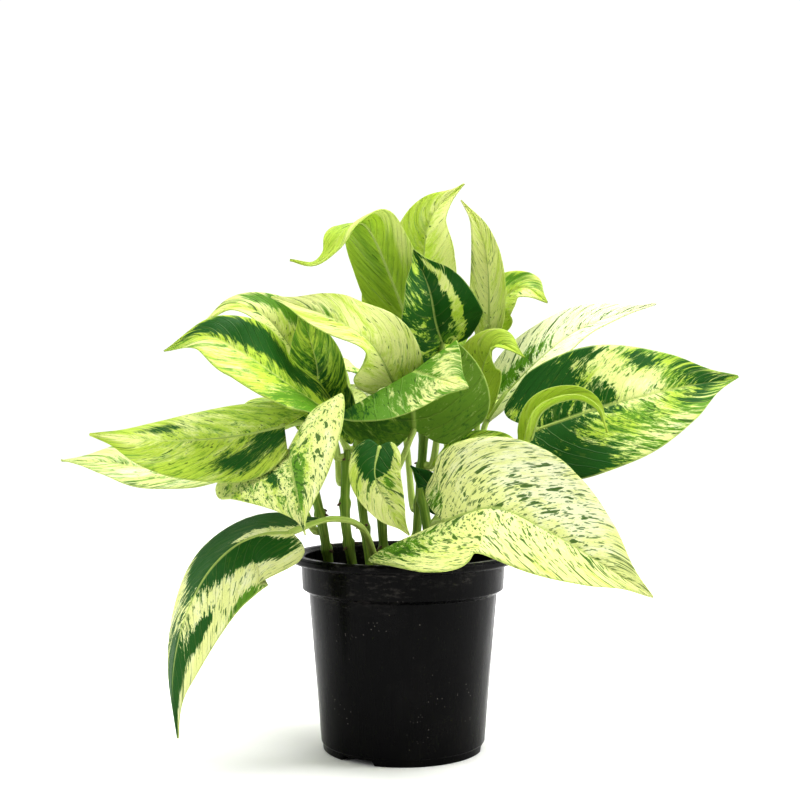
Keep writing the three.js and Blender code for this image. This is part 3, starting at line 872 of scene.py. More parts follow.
SHAPES: dict[str, LeafShape] = {
    "leaf_front_right": LeafShape(
        midrib=((19, -60, 126), (44, -72, 134), (68, -80, 124), (119, -80, 92),),
        face=((0, -0.75, 0.65), (0.2, -0.75, 0.6),),
        half=36, lobe=(0.33, 0.06), fold=(16, 20), curl=(-10, 10),
        vine="vine_4", at=0.45, via=((15, -40, 122),),
    ),
    "leaf_right": LeafShape(
        midrib=((68, -38, 171), (99, -44, 182), (125, -42, 189), (172, -32, 198),),
        face=((-0.1, -0.9, 0.45), (0, -0.9, 0.45),),
        half=35, lobe=(0.12, 0.12), fold=(8, 8), curl=(-10, -10),
        vine="vine_5", at=0.6, via=((50, -24, 150),),
    ),
    "leaf_young_right": LeafShape(
        midrib=((63, -50, 166), (69, -54, 181), (85, -56, 187), (96, -56, 182), (102, -54, 170),),
        face=((-0.6, -0.5, 0.6), (0.6, -0.5, 0.6),),
        half=8, lobe=(0.1, 0.1), fold=(40, 40), curl=(40, 40),
        vine="vine_5", at=0.5, via=((48, -36, 148),),
    ),
    "leaf_right_pale": LeafShape(
        midrib=((56, 10, 189), (72, 10, 206), (97, 12, 225), (139, 14, 239),),
        face=((-0.5, -0.5, 0.7), (-0.2, -0.5, 0.8),),
        half=22, lobe=(0.2, 0.2), fold=(15, 15), curl=(0, 0),
        vine="vine_5", at=0.85, via=((44, 0, 172),),
    ),
    "leaf_centre_curled": LeafShape(
        midrib=((42, 4, 186), (44, 6, 206), (51, 2, 216), (65, -6, 209),),
        face=((-0.4, -0.8, 0.3), (0, -0.4, 0.9),),
        half=16, lobe=(0.2, 0.2), fold=(20, 20), curl=(20, 20),
        vine="vine_5", at=0.95, via=((41, 8, 178),),
    ),
    "leaf_centre_folded": LeafShape(
        midrib=((6, -22, 170), (4, -17, 196), (1, -12, 220), (-2, -7, 236),),
        face=((0, 0.95, -0.2), (0, 0.95, -0.2),),
        half=41, lobe=(0.15, 0.12), fold=(0, 0), curl=(8, 8),
        vine="vine_3", at=0.9, via=((-3, -24, 150),),
        crease=Crease(start=(-27, -22, 175), end=(35, -12, 217), over=(0, -1, 0.1), turn=150, radius=3),
    ),
    "leaf_front_left": LeafShape(
        midrib=((-57, -60, 161), (-54, -73, 152), (-50, -83, 139), (-46, -92, 123),),
        face=((-0.78, -0.62, 0.35), (-0.5, -0.85, 0.2),),
        half=51, taper=0.88, lobe=(0.4, 0.15), fold=(27, 0), curl=(-10, -10),
        vine="vine_1", at=0.9, via=((-50, -36, 154),),
    ),
    "leaf_left": LeafShape(
        midrib=((-59, -55, 173), (-84, -55, 168), (-115, -57, 166), (-156, -53, 169),),
        face=((0, -0.8, 0.6), (0, -0.8, 0.6),),
        half=27, lobe=(0.14, 0), fold=(-20, 0), curl=(0, 0),
        vine="vine_1", at=0.97, via=((-50, -36, 173),),
    ),
    "leaf_left_low": LeafShape(
        midrib=((-92, -10, 153), (-131, 0, 149), (-159, 5, 152), (-186, 8, 153),),
        face=((0, -0.55, 0.8), (0, -0.55, 0.8),),
        half=25, lobe=(0.2, 0.2), fold=(10, 10), curl=(0, 0),
        vine="vine_1", at=0.55, via=((-66, -14, 152),),
    ),
    "leaf_left_upper": LeafShape(
        midrib=(
            (-42, -24, 182), (-61, -41, 196), (-81, -51, 210), (-98, -51, 218),
            (-121, -42, 211),
        ),
        face=((-0.3, -0.6, 0.7), (-0.3, -0.5, 0.8),),
        half=28, lobe=(0.1, -0.1), fold=(12, 6), curl=(0, 0),
        vine="vine_2", at=0.95, via=((-36, -23, 172),),
    ),
    "leaf_left_inner": LeafShape(
        midrib=((-39, -2, 173), (-45, -6, 189), (-46, -6, 204), (-56, 4, 238),),
        face=((-0.2, -0.9, 0.3), (-0.2, -0.9, 0.3),),
        half=18, lobe=(0.2, 0.2), fold=(10, 10), curl=(0, 0),
        vine="vine_2", at=0.8, via=((-35, -12, 160),),
    ),
    "leaf_left_high": LeafShape(
        midrib=((-50, 12, 194), (-62, 10, 216), (-77, 4, 233), (-93, 0, 236), (-106, -4, 228),),
        face=((-0.3, -0.6, 0.7), (-0.2, -0.6, 0.8),),
        half=20, lobe=(0.2, 0.2), fold=(15, 15), curl=(0, 0),
        vine="vine_7", at=0.9, via=((-40, 20, 180),),
    ),
    "leaf_middle_left": LeafShape(
        midrib=((-4, -6, 193), (-17, -18, 216), (-36, -28, 228), (-69, -19, 240),),
        face=((-0.3, -0.7, 0.6), (-0.2, -0.7, 0.7),),
        half=21, lobe=(0.1, -0.05), fold=(10, 20), curl=(0, 0),
        vine="vine_3", at=0.97, via=((-8, -8, 170),),
    ),
    "leaf_top_hook": LeafShape(
        midrib=(
            (6, 33, 221), (-2, 28, 242), (-12, 17, 266), (-21, 6, 282), (-32, -8, 276),
            (-38, -16, 264), (-47, -20, 257), (-59, -22, 259),
        ),
        face=((-0.2, 0.9, 0.4), (-0.2, -0.6, 0.8),),
        half=18.5, lobe=(0, 0), fold=(10, 10), curl=(0, 0),
        vine="vine_6", at=0.97, via=((14, 10, 192),),
    ),
    "leaf_middle_dark": LeafShape(
        midrib=((22, 24, 217), (18, 13, 228), (14, 1, 246), (5.5, 2, 267),),
        face=((0.1, -0.95, 0.2), (0.1, -0.95, 0.15),),
        half=27, lobe=(0.05, 0.05), fold=(14, 28), curl=(0, 0),
        vine="vine_6", at=0.75, via=((20, 9, 188),),
    ),
    "leaf_top_back": LeafShape(
        midrib=((13, 45, 244), (12, 48, 268), (17, 46, 292), (35, 40, 309),),
        face=((-0.2, -0.9, 0.3), (-0.4, -0.8, 0.5),),
        half=21, lobe=(0.15, 0.15), fold=(15, 15), curl=(0, 0),
        vine="vine_6", at=0.9, via=((20, 42, 205),),
    ),
    "leaf_top_right": LeafShape(
        midrib=((48, 26, 227), (48, 27, 250), (46, 27, 270), (41, 22, 284), (32, 16, 296),),
        face=((-0.3, -0.9, 0.3), (-0.2, -0.9, 0.4),),
        half=10.5, lobe=(0.15, 0.15), fold=(15, 15), curl=(0, 0),
        vine="vine_8", at=0.95, via=((34, 26, 190),),
    ),
    "leaf_right_high": LeafShape(
        midrib=((44, 38, 228), (56, 35, 243), (68, 29, 249), (80, 20, 240),),
        face=((-0.2, -0.7, 0.7), (0, -0.6, 0.8),),
        half=17.5, lobe=(0.2, 0.2), fold=(0, 15), curl=(0, 0),
        vine="vine_8", at=0.8, via=((32, 38, 190),),
    ),
    "leaf_front_hanging": LeafShape(
        midrib=((-12, -50, 163), (-14, -58, 149), (-8, -62, 135), (3, -56, 119),),
        face=((0, -0.9, 0.4), (0, -0.95, 0.1),),
        half=13, lobe=(0.05, 0.05), fold=(5, 5), curl=(0, 0),
        vine="vine_3", at=0.75, via=((-6, -36, 150),),
    ),
    "leaf_low_left": LeafShape(
        midrib=(
            (-55, -52, 120), (-77, -48, 117), (-95, -54, 103), (-108, -58, 78), (-114, -58, 48),
            (-112, -54, 18),
        ),
        face=((-0.1, -0.75, 0.65), (-0.6, -0.75, 0.2),),
        half=30, lobe=(0.1, 0.05), fold=(-35, 0), curl=(0, 0),
        vine="vine_3", at=0.28, via=((-21, -31, 120), (-36, -44, 126),),
    ),
    "leaf_small_dark": LeafShape(
        midrib=((20, -4, 130), (12, -8, 143), (4, -8, 151),),
        face=((-0.2, -0.9, 0.4), (-0.2, -0.9, 0.4),),
        half=8, lobe=(0.2, 0.2), fold=(10, 10), curl=(0, 0),
        vine="vine_4", at=0.7, via=((19, -10, 126),),
    ),
    "leaf_right_speckled": LeafShape(
        midrib=((25, -12, 152), (41, -14, 161), (53, -18, 162), (65, -20, 157),),
        face=((0, -0.6, 0.8), (0, -0.6, 0.8),),
        half=13, lobe=(0.2, 0.2), fold=(10, 10), curl=(0, 0),
        vine="vine_4", at=0.95, via=((17, -18, 146),),
    ),
    "leaf_inner_grey": LeafShape(
        midrib=((-10, 30, 180), (-16, 34, 191), (-27, 36, 193),),
        face=((-0.2, -0.8, 0.5), (-0.2, -0.8, 0.5),),
        half=9, lobe=(0.2, 0.2), fold=(10, 10), curl=(0, 0),
        vine="vine_7", at=0.85, via=((-14, 26, 168),),
    ),
    "leaf_inner_yellow": LeafShape(
        midrib=((-8, 50, 230), (-16, 52, 245), (-22, 48, 259),),
        face=((-0.2, -0.9, 0.3), (-0.2, -0.9, 0.3),),
        half=10, lobe=(0.2, 0.2), fold=(10, 10), curl=(0, 0),
        vine="vine_7", at=0.97, via=((-6, 46, 200),),
    ),
    "leaf_back_left": LeafShape(
        midrib=((-48, 36, 178), (-66, 52, 182), (-84, 68, 174), (-98, 80, 158),),
        face=((-0.2, 0.3, 0.9), (-0.4, 0.4, 0.8),),
        half=25, lobe=(0.2, 0.2), fold=(12, 12), curl=(-10, -10),
        vine="vine_7", at=0.75, via=((-34, 30, 165),),
    ),
    "leaf_back_middle": LeafShape(
        midrib=((-10, 60, 190), (-14, 78, 188), (-18, 96, 174), (-20, 106, 152),),
        face=((0, 0.4, 0.9), (0, 0.9, 0.4),),
        half=26, lobe=(0.2, 0.2), fold=(10, 10), curl=(-10, -10),
        vine="vine_6", at=0.5, via=((0, 44, 172),),
    ),
    "leaf_back_right": LeafShape(
        midrib=((46, 48, 180), (62, 62, 186), (78, 76, 180), (92, 90, 162),),
        face=((0.2, 0.3, 0.9), (0.4, 0.5, 0.7),),
        half=24, lobe=(0.2, 0.2), fold=(12, 12), curl=(-10, -10),
        vine="vine_8", at=0.6, via=((36, 44, 165),),
    ),
    "leaf_back_high": LeafShape(
        midrib=((18, 56, 222), (20, 74, 226), (24, 92, 220), (28, 108, 204),),
        face=((0, 0.4, 0.9), (0, 0.7, 0.7),),
        half=24, lobe=(0.2, 0.2), fold=(12, 12), curl=(-10, -10),
        vine="vine_8", at=0.97, via=((24, 46, 190),),
    ),
    "leaf_back_low": LeafShape(
        midrib=((30, 58, 146), (42, 74, 148), (54, 88, 138), (64, 98, 120),),
        face=((0.1, 0.4, 0.9), (0.3, 0.8, 0.5),),
        half=22, lobe=(0.2, 0.2), fold=(12, 12), curl=(-10, -10),
        vine="vine_8", at=0.35, via=((30, 46, 138),),
    ),
    "leaf_back_left_high": LeafShape(
        midrib=((-34, 58, 204), (-48, 72, 212), (-60, 86, 208), (-70, 98, 194),),
        face=((-0.2, 0.4, 0.9), (-0.3, 0.6, 0.7),),
        half=22, lobe=(0.2, 0.2), fold=(12, 12), curl=(-10, -10),
        vine="vine_7", at=0.6, via=((-28, 44, 180),),
    ),
}


class Tone(Enum):
    """The three areas that a patch can favour."""

    GREEN = 0
    DARK = 1
    CREAM = 2


@dataclass(frozen=True)
class Patch:
    """A soft oval area that favours one tone, or with a negative strength keeps it out.

    `along` and `across` are its middle on the blade, `length` and `width` its half axes.
    """

    tone: Tone
    along: float
    across: float
    length: float
    width: float
    strength: float


@dataclass(frozen=True)
class LeafLook:
    """How much of each tone a blade has, and where.

    `soft` is the width of the areas' edges and `size` shrinks the areas as it grows.
    """

    green: float = 0.25
    dark: float = 0.1
    cream: float = 0.4
    flecks: float = 0.3
    patches: tuple[Patch, ...] = ()
    wave: float = 0.8
    soft: float = 0.08
    size: float = 1.0


G, D, C = Tone.GREEN, Tone.DARK, Tone.CREAM
LOOKS: dict[str, LeafLook] = {
    "leaf_front_right": LeafLook(
        green=0.16, dark=0.05, cream=0.6, flecks=1.5, wave=0.6, size=1.8,
        patches=(
            Patch(G, 0.05, -0.4, 0.12, 0.4, 0.4), Patch(D, 0.25, 0.0, 0.06, 0.07, 0.6),
            Patch(G, 0.03, 0.5, 0.06, 0.3, 0.45), Patch(D, 0.6, -0.85, 0.12, 0.15, 0.35),
            Patch(C, 0.5, 0.6, 0.35, 0.6, 0.6), Patch(G, 0.5, 0.6, 0.3, 0.5, -0.15),
            Patch(G, 0.62, -0.1, 0.2, 0.12, 0.3), Patch(G, 0.3, -0.6, 0.25, 0.4, 0.1),
        ),
    ),
    "leaf_right": LeafLook(
        green=0.52, dark=0.3, cream=0.35, flecks=0.6, soft=0.1, size=1.3,
        patches=(
            Patch(D, 0.15, 0.75, 0.17, 0.5, 0.6), Patch(D, 0.38, 0.95, 0.07, 0.2, 0.5),
            Patch(D, 0.37, 0.15, 0.08, 0.3, 0.5), Patch(D, 0.57, 0.7, 0.08, 0.2, 0.4),
            Patch(D, 0.85, 0.3, 0.13, 0.7, 0.4), Patch(D, 0.18, -0.75, 0.2, 0.35, 0.7),
            Patch(D, 0.12, -0.1, 0.12, 0.3, 0.5), Patch(D, 0.75, -0.4, 0.1, 0.2, 0.3),
            Patch(C, 0.42, 0.6, 0.1, 0.5, 0.3), Patch(D, 0.43, 0.55, 0.09, 0.4, -0.35),
            Patch(G, 0.43, 0.55, 0.09, 0.4, -0.15), Patch(D, 0.53, 0.1, 0.08, 0.3, -0.4),
            Patch(C, 0.55, 0.15, 0.08, 0.3, 0.5), Patch(G, 0.53, 0.1, 0.08, 0.3, -0.2),
            Patch(C, 0.6, -0.8, 0.2, 0.2, 0.5), Patch(D, 0.5, -0.55, 0.25, 0.4, -0.25),
        ),
    ),
    "leaf_young_right": LeafLook(green=0.15, dark=-0.3, cream=0.15, flecks=0.0, wave=0.3, soft=0.3),
    "leaf_right_pale": LeafLook(
        green=0.2, dark=0.27, cream=1.2, flecks=0.8, size=1.4,
        patches=(Patch(G, 0.2, 0.3, 0.25, 0.3, 0.5), Patch(D, 0.8, 0.0, 0.3, 1.0, 0.1)),
    ),
    "leaf_centre_curled": LeafLook(green=0.25, dark=-0.2, cream=0.1, flecks=0.2, soft=0.25),
    # Partly painted shade: this folded leaf's strong green and dark bias, and its dark patch near the
    # base under the flap, stand for its own green underside and also for the shadow inside the plant.
    "leaf_centre_folded": LeafLook(
        green=0.75, dark=0.3, cream=0.6, flecks=0.4, wave=0.4, soft=0.12,
        patches=(
            Patch(G, 0.85, 0.0, 0.3, 1.2, -0.38), Patch(D, 0.85, 0.0, 0.3, 1.2, -0.25),
            Patch(D, 0.2, -0.6, 0.2, 0.5, 0.3),
        ),
    ),
    "leaf_front_left": LeafLook(
        green=0.4, dark=0.25, cream=0.5, flecks=1.2, wave=0.5, size=1.6,
        patches=(
            Patch(G, 0.5, 0.12, 0.3, 0.12, 0.5), Patch(D, 0.4, -0.3, 0.15, 0.1, 0.45),
            Patch(C, 0.4, 0.8, 0.4, 0.3, 0.3), Patch(D, 0.4, 0.8, 0.4, 0.3, -0.25),
            Patch(G, 0.4, 0.8, 0.4, 0.3, -0.2), Patch(D, 0.93, 0.0, 0.06, 1.0, 0.5),
        ),
    ),
    "leaf_left": LeafLook(
        green=0.38, dark=0.12, cream=0.2, flecks=0.6, soft=0.2, size=1.6,
        patches=(
            Patch(D, 0.06, 0.25, 0.16, 0.35, 0.8), Patch(D, 0.27, 0.62, 0.12, 0.25, 0.7),
            Patch(D, 0.66, -0.5, 0.12, 0.28, 0.6), Patch(C, 0.5, -0.8, 0.12, 0.3, 0.4),
            Patch(C, 0.8, 0.1, 0.2, 0.5, 0.4), Patch(G, 0.85, 0.1, 0.15, 0.5, -0.25),
            Patch(D, 0.15, -0.5, 0.3, 0.5, -0.2),
        ),
    ),
    "leaf_left_low": LeafLook(
        green=0.4, dark=0.15, cream=0.9, flecks=0.7, soft=0.2,
        patches=(Patch(D, 0.45, 0.95, 0.25, 0.12, 0.3),),
    ),
    "leaf_left_upper": LeafLook(
        green=0.45, dark=0.1, cream=0.1, flecks=0.5, soft=0.12,
        patches=(
            Patch(D, 0.35, -0.55, 0.45, 0.35, 0.75), Patch(D, 0.7, -0.5, 0.25, 0.5, 0.5),
            Patch(C, 0.4, -1.0, 0.2, 0.12, 0.3),
            Patch(C, 0.5, 0.6, 0.5, 0.5, 0.3), Patch(G, 0.55, 0.6, 0.3, 0.5, -0.15),
            Patch(G, 0.15, 0.6, 0.2, 0.5, 0.35),
        ),
    ),
    "leaf_left_inner": LeafLook(
        green=0.55, dark=0.4, cream=0.05, flecks=0.6, soft=0.16, size=1.3,
        patches=(Patch(D, 0.8, 0.0, 0.25, 1.0, -0.3), Patch(D, 0.2, 0.0, 0.3, 1.0, 0.2)),
    ),
    "leaf_left_high": LeafLook(
        green=0.2, dark=-0.1, cream=0.5, flecks=0.8, soft=0.14,
        patches=(
            Patch(G, 0.55, -0.7, 0.25, 0.3, 0.6), Patch(D, 0.75, -0.9, 0.15, 0.2, 0.3),
            Patch(G, 0.1, 0.5, 0.2, 0.6, 0.4), Patch(D, 0.1, -0.5, 0.2, 0.6, 0.5),
        ),
    ),
    "leaf_middle_left": LeafLook(
        green=0.12, dark=-0.2, cream=0.45, flecks=0.4, soft=0.2,
        patches=(Patch(G, 0.65, -0.1, 0.15, 0.25, 0.3), Patch(G, 0.1, -0.6, 0.25, 0.5, 0.25)),
    ),
    "leaf_top_hook": LeafLook(
        green=0.2, dark=-0.3, cream=0.1, flecks=0.1, soft=0.4,
        patches=(Patch(G, 0.45, -0.4, 0.25, 0.5, 0.35), Patch(C, 0.4, 0.8, 0.4, 0.3, 0.5)),
    ),
    "leaf_middle_dark": LeafLook(
        green=0.6, dark=0.55, cream=0.35, flecks=0.6, size=0.9,
        patches=(
            Patch(D, 0.5, -0.1, 0.35, 0.25, 0.35), Patch(D, 0.3, -0.8, 0.4, 0.25, 0.35),
            Patch(D, 0.5, -0.52, 0.5, 0.12, -0.6), Patch(G, 0.5, -0.52, 0.5, 0.12, -0.4),
            Patch(D, 0.1, -0.1, 0.1, 0.3, -0.3),
        ),
    ),
    "leaf_top_back": LeafLook(
        green=0.1, dark=-0.3, cream=0.25, flecks=0.1, soft=0.4,
        patches=(Patch(C, 0.6, -0.8, 0.5, 0.4, 0.4), Patch(G, 0.5, 0.3, 0.3, 0.4, 0.2)),
    ),
    "leaf_top_right": LeafLook(
        green=0.1, dark=-0.2, cream=0.5, flecks=0.4, soft=0.3,
        patches=(Patch(D, 0.6, 0.95, 0.4, 0.2, 0.6),),
    ),
    "leaf_right_high": LeafLook(
        green=0.3, dark=0.05, cream=0.3, flecks=0.4, soft=0.2,
        patches=(Patch(G, 0.5, 0.6, 0.25, 0.4, 0.4),),
    ),
    "leaf_front_hanging": LeafLook(
        green=0.2, dark=0.0, cream=0.45, flecks=0.8, soft=0.06,
        patches=(
            Patch(D, 0.2, 0.0, 0.2, 0.85, 1.0), Patch(D, 0.0, 0.0, 0.2, 1.2, 0.8),
            Patch(D, 0.1, 1.0, 0.22, 0.35, -0.9), Patch(G, 0.45, 0.4, 0.12, 0.3, 0.5),
            Patch(G, 0.4, -0.8, 0.15, 0.3, 0.3),
        ),
    ),
    "leaf_low_left": LeafLook(
        green=0.22, dark=0.1, cream=0.8, flecks=0.8, soft=0.05, size=1.5,
        patches=(
            Patch(D, 0.15, -0.8, 0.14, 0.5, 1.2), Patch(D, 0.12, 0.35, 0.12, 0.25, 1.0),
            Patch(D, 0.26, 0.1, 0.12, 0.3, 0.9), Patch(D, 0.37, -0.4, 0.1, 0.5, 1.0),
            Patch(D, 0.86, -0.15, 0.26, 0.85, 1.2), Patch(D, 0.57, 0.55, 0.09, 0.16, 0.8),
            Patch(D, 0.75, 1.0, 0.35, 0.28, -1.0), Patch(G, 0.46, -0.2, 0.07, 0.4, 0.4),
            Patch(G, 0.38, 0.95, 0.12, 0.12, 0.6), Patch(D, 0.15, -0.12, 0.12, 0.12, -0.6),
        ),
    ),
    "leaf_small_dark": LeafLook(green=0.8, dark=0.85, cream=0.2, flecks=0.2, wave=0.2),
    "leaf_right_speckled": LeafLook(green=0.45, dark=0.25, cream=0.2, flecks=1.2, wave=0.4, size=2),
    "leaf_inner_grey": LeafLook(green=0.25, dark=0.2, cream=1.2, flecks=1.3, wave=0.3, size=1.5),
    "leaf_inner_yellow": LeafLook(green=0.1, dark=-0.2, cream=0.3, flecks=0.2, wave=0.3, soft=0.3),
    "leaf_back_left": LeafLook(green=0.35, dark=0.25, cream=0.6, flecks=0.6),
    "leaf_back_middle": LeafLook(green=0.25, dark=0.1, cream=0.8, flecks=1.1),
    "leaf_back_right": LeafLook(green=0.45, dark=0.35, cream=0.5, flecks=0.4),
    "leaf_back_high": LeafLook(green=0.35, dark=0.1, cream=0.3, flecks=0.5, soft=0.15),
    "leaf_back_low": LeafLook(green=0.3, dark=0.3, cream=0.8, flecks=0.6),
    "leaf_back_left_high": LeafLook(green=0.3, dark=0.1, cream=0.5, flecks=0.9),
}


# ------------------------------------------------------------------ leaves
OUTLINE: tuple[Pair, ...] = (
    (0, 0.6), (0.1, 0.9), (0.27, 1), (0.5, 0.87), (0.72, 0.54), (0.87, 0.2), (1, 0.015),
)


def outline_at(s: float) -> float:
    """A blade's half width along its length, as a share of its widest half.

    Args:
        s: share of the midrib, from 0 to 1.

    Returns:
        The share of the width.
    """
    last = len(OUTLINE) - 1
    k = next((i for i, (at, _) in enumerate(OUTLINE) if at >= s), last)
    k = max(0, k - 1)

    def knot(i: int) -> Pair:
        """The outline's point i, held inside its ends."""
        return OUTLINE[max(0, min(last, i))]

    def slope(i: int) -> float:
        """The outline's slope at point i."""
        before, after = knot(i - 1), knot(i + 1)
        return (after[1] - before[1]) / (after[0] - before[0])

    step = knot(k + 1)[0] - knot(k)[0]
    part = (s - knot(k)[0]) / step
    p2, p3 = part**2, part**3
    return (
        (2 * p3 - 3 * p2 + 1) * knot(k)[1]
        + (p3 - 2 * p2 + part) * step * slope(k)
        + (3 * p2 - 2 * p3) * knot(k + 1)[1]
        + (p3 - p2) * step * slope(k + 1)
    )


PETIOLE_TAPER: tuple[Pair, ...] = (
    (0, 1.3), (0.08, 1.15), (0.3, 1), (0.85, 0.85), (0.95, 1), (1, 0.8),
)


@dataclass
class Leaf:
    """One leaf: a thin closed blade on its petiole.

    `rows` and `columns` are the blade's faces along and across, and sizes are in
    millimetres.
    """

    name: str
    shape: LeafShape
    look: LeafLook
    seed: int
    rows: int = 60
    columns: int = 40
    thickness: float = 0.55
    petiole_radius: float = 1.75
    lobe_span: float = 0.82
    lobe_power: float = 1.15
    swell_height: float = 1.5
    quilt_height: float = 0.3
    quilt_pitch: float = 0.82
    groove_depth: float = 0.5
    groove_width: float = 1.4
    vein_sweep: float = 0.3
    vein_lean: float = 0.16
    seed_step: float = 31.7
    rib_points: int = 9
    rib_start: float = 0.004
    rib_reach: float = 0.9
    rib_depth: float = 0.75
    curve: SmoothCurve = field(init=False)

    def __post_init__(self) -> None:
        """Lays the midrib's curve."""
        self.curve = SmoothCurve(self.shape.midrib)

    def facing(self, u: float) -> Vector:
        """The way that the upper side looks.

        Args:
            u: share of the midrib's length.

        Returns:
            The direction, not of unit length.
        """
        spans = len(self.shape.face) - 1
        k = min(int(u * spans), spans - 1)
        return Vector(self.shape.face[k]).lerp(Vector(self.shape.face[k + 1]), u * spans - k)

    def ripple(self, s: float, t: float) -> float:
        """How far a place on the blade lies above its plain form, in millimetres.

        Args:
            s: share along the midrib.
            t: place across, from -1 to 1.

        Returns:
            The height.
        """
        look, across = self.look, abs(t)
        swell = noise.noise(Vector((s * 3.1, t * 1.3, self.seed * 1.7)))
        wave = look.wave * across**2 * math.sin(s * 17 + self.seed + (2 if t < 0 else 0))
        pillow = math.sin(self.vein_place(s, t) * self.quilt_pitch)
        quilt = self.quilt_height * pillow * across * (1 - across)
        groove = -self.groove_depth * math.exp(-((t * self.shape.half / self.groove_width) ** 2))
        ends = math.sin(math.pi * min(1.0, s * 1.6 + 0.12)) if s < 0.3 else 1.0
        return (wave * (1 - s) + self.swell_height * swell * across + quilt) * ends + groove

    def vein_place(self, s: float, t: float) -> float:
        """The place along the midrib, in millimetres, where the vein through (s, t) starts."""
        swept = self.vein_sweep * abs(t) ** 1.5 * (1 - s)
        return (s - swept - self.vein_lean * abs(t)) * self.curve.length

    def spot(self, s: float, t: float) -> Vector:
        """The place of a point of the blade, in millimetres.

        Args:
            s: share along the midrib.
            t: place across, from -1 to 1.

        Returns:
            The point.
        """
        shape, across = self.shape, abs(t)
        half = 0 if t < 0 else 1
        reach_back = math.sin(math.pi * min(1.0, across * self.lobe_span) ** self.lobe_power)
        along = s - shape.lobe[half] * reach_back * (1 - s) ** 3
        u = max(0.0, min(1.0, along))
        centre, ahead = self.curve.point(u), self.curve.tangent(u)
        if along < 0:
            centre = centre + ahead * (along * self.curve.length)
        side = self.facing(u).cross(ahead).normalized()
        normal = ahead.cross(side).normalized()
        reach = outline_at(s) * across * (1 - shape.taper * s)
        rise = math.radians(shape.fold[half] + shape.curl[half] / 2 * reach)
        distance = reach * shape.half
        centre = centre + side * (math.copysign(1, t) * distance * math.cos(rise))
        centre = centre + normal * (distance * math.sin(rise) + self.ripple(s, t))
        return shape.crease.bend(centre) if shape.crease else centre

    def tones(self, s: float, t: float) -> Vector:
        """The bias to green, dark and cream at a place of the blade.

        Args:
            s: share along the midrib.
            t: place across, from -1 to 1.

        Returns:
            The three biases.
        """
        look = self.look
        bias = [look.green, look.dark, look.cream]
        for patch in look.patches:
            far = ((s - patch.along) / patch.length) ** 2 + ((t - patch.across) / patch.width) ** 2
            bias[patch.tone.value] += patch.strength * math.exp(-far)
        return Vector(bias)

    def build_blade(self, bm: bmesh.types.BMesh) -> None:
        """Adds the blade: a grid laid on the leaf's form and given its thickness.

        Args:
            bm: the leaf's mesh.
        """
        facing = bm.verts.layers.float_vector.new("facing")
        place = bm.verts.layers.float_vector["place"]
        marbling = bm.verts.layers.float_vector["marbling"]
        tones = bm.verts.layers.float_vector["tones"]
        cast = bm.verts.layers.float_vector["cast"]
        rows = self.rows * 2 if self.shape.crease else self.rows
        columns = self.columns * 2 if self.shape.crease else self.columns
        grid = bmesh.ops.create_grid(bm, x_segments=columns, y_segments=rows, size=1.0)["verts"]
        for vert in grid:
            s, t = (vert.co.y + 1) / 2, -vert.co.x
            across = t * self.shape.half * max(outline_at(s), 0.2)
            vert[place] = (t, s, self.look.flecks)
            vert[marbling] = (self.vein_place(s, t), across, self.seed * self.seed_step)
            vert[tones] = self.tones(s, t)
            vert[cast] = (self.look.soft, self.look.size, 0)
            vert.co = self.spot(s, t) * MM
        bm.normal_update()
        lift = self.thickness / 2 * MM
        for vert in grid:
            vert[facing] = vert.normal * lift
        sheet_faces = bm.faces[:]
        raised = bmesh.ops.extrude_face_region(bm, geom=sheet_faces, use_keep_orig=True)["geom"]
        upper = {v for v in raised if isinstance(v, bmesh.types.BMVert)}
        top = {f for f in raised if isinstance(f, bmesh.types.BMFace)}
        for vert in bm.verts:
            vert.co += vert[facing] * (1 if vert in upper else -1)
        for face in bm.faces:
            face.material_index = 0 if face in top else 1
            face.smooth = True
        bmesh.ops.recalc_face_normals(bm, faces=bm.faces[:])
        bm.verts.layers.float_vector.remove(facing)

    def build_petiole(self, bm: bmesh.types.BMesh, vine: SmoothCurve, vine_radius: float) -> None:
        """Adds the petiole and its run on under the blade as the midrib.

        Args:
            bm: the leaf's mesh.
            vine: the vine's curve.
            vine_radius: the vine's radius in millimetres.
        """
        shape = self.shape
        stem, axis = vine.point(shape.at), vine.tangent(shape.at)
        out = Vector(shape.via[0]) - stem
        out = (out - axis * out.dot(axis)).normalized()
        foot = stem + out * (vine_radius - 0.4)
        near = stem + out * (vine_radius + 3)
        joint = self.curve.point(0.015)
        path = SmoothCurve([foot, near, *(Vector(p) for p in shape.via), joint])
        wide = self.petiole_radius
        radii = [(at, wide * share) for at, share in PETIOLE_TAPER]
        steps = max(14, round(path.length / 1.6))
        add_tube(bm, path, radii, sides=12, steps=steps, material=2)
        if shape.crease:
            return
        under: list[Vector] = []
        for k in range(self.rib_points):
            u = self.rib_start + self.rib_reach * k / (self.rib_points - 1)
            ahead = self.curve.tangent(u)
            side = self.facing(u).cross(ahead).normalized()
            under.append(self.curve.point(u) - ahead.cross(side).normalized() * self.rib_depth)
        radii = [(0, wide * 0.7), (0.3, wide * 0.42), (1, 0.2)]
        add_tube(bm, SmoothCurve(under), radii, sides=8, steps=44, material=2)

    def build(
        self, vine: SmoothCurve, vine_radius: float, materials: list[bpy.types.Material]
    ) -> None:
        """Builds the leaf and ties it to the frame.

        Args:
            vine: the curve of the vine that carries it.
            vine_radius: that vine's radius in millimetres.
            materials: the upper skin, the underside and the petiole.
        """
        bm = new_mesh()
        self.build_blade(bm)
        self.build_petiole(bm, vine, vine_radius)
        settle(as_object(bm, f"{self.name}_skin", materials), (self.name,))


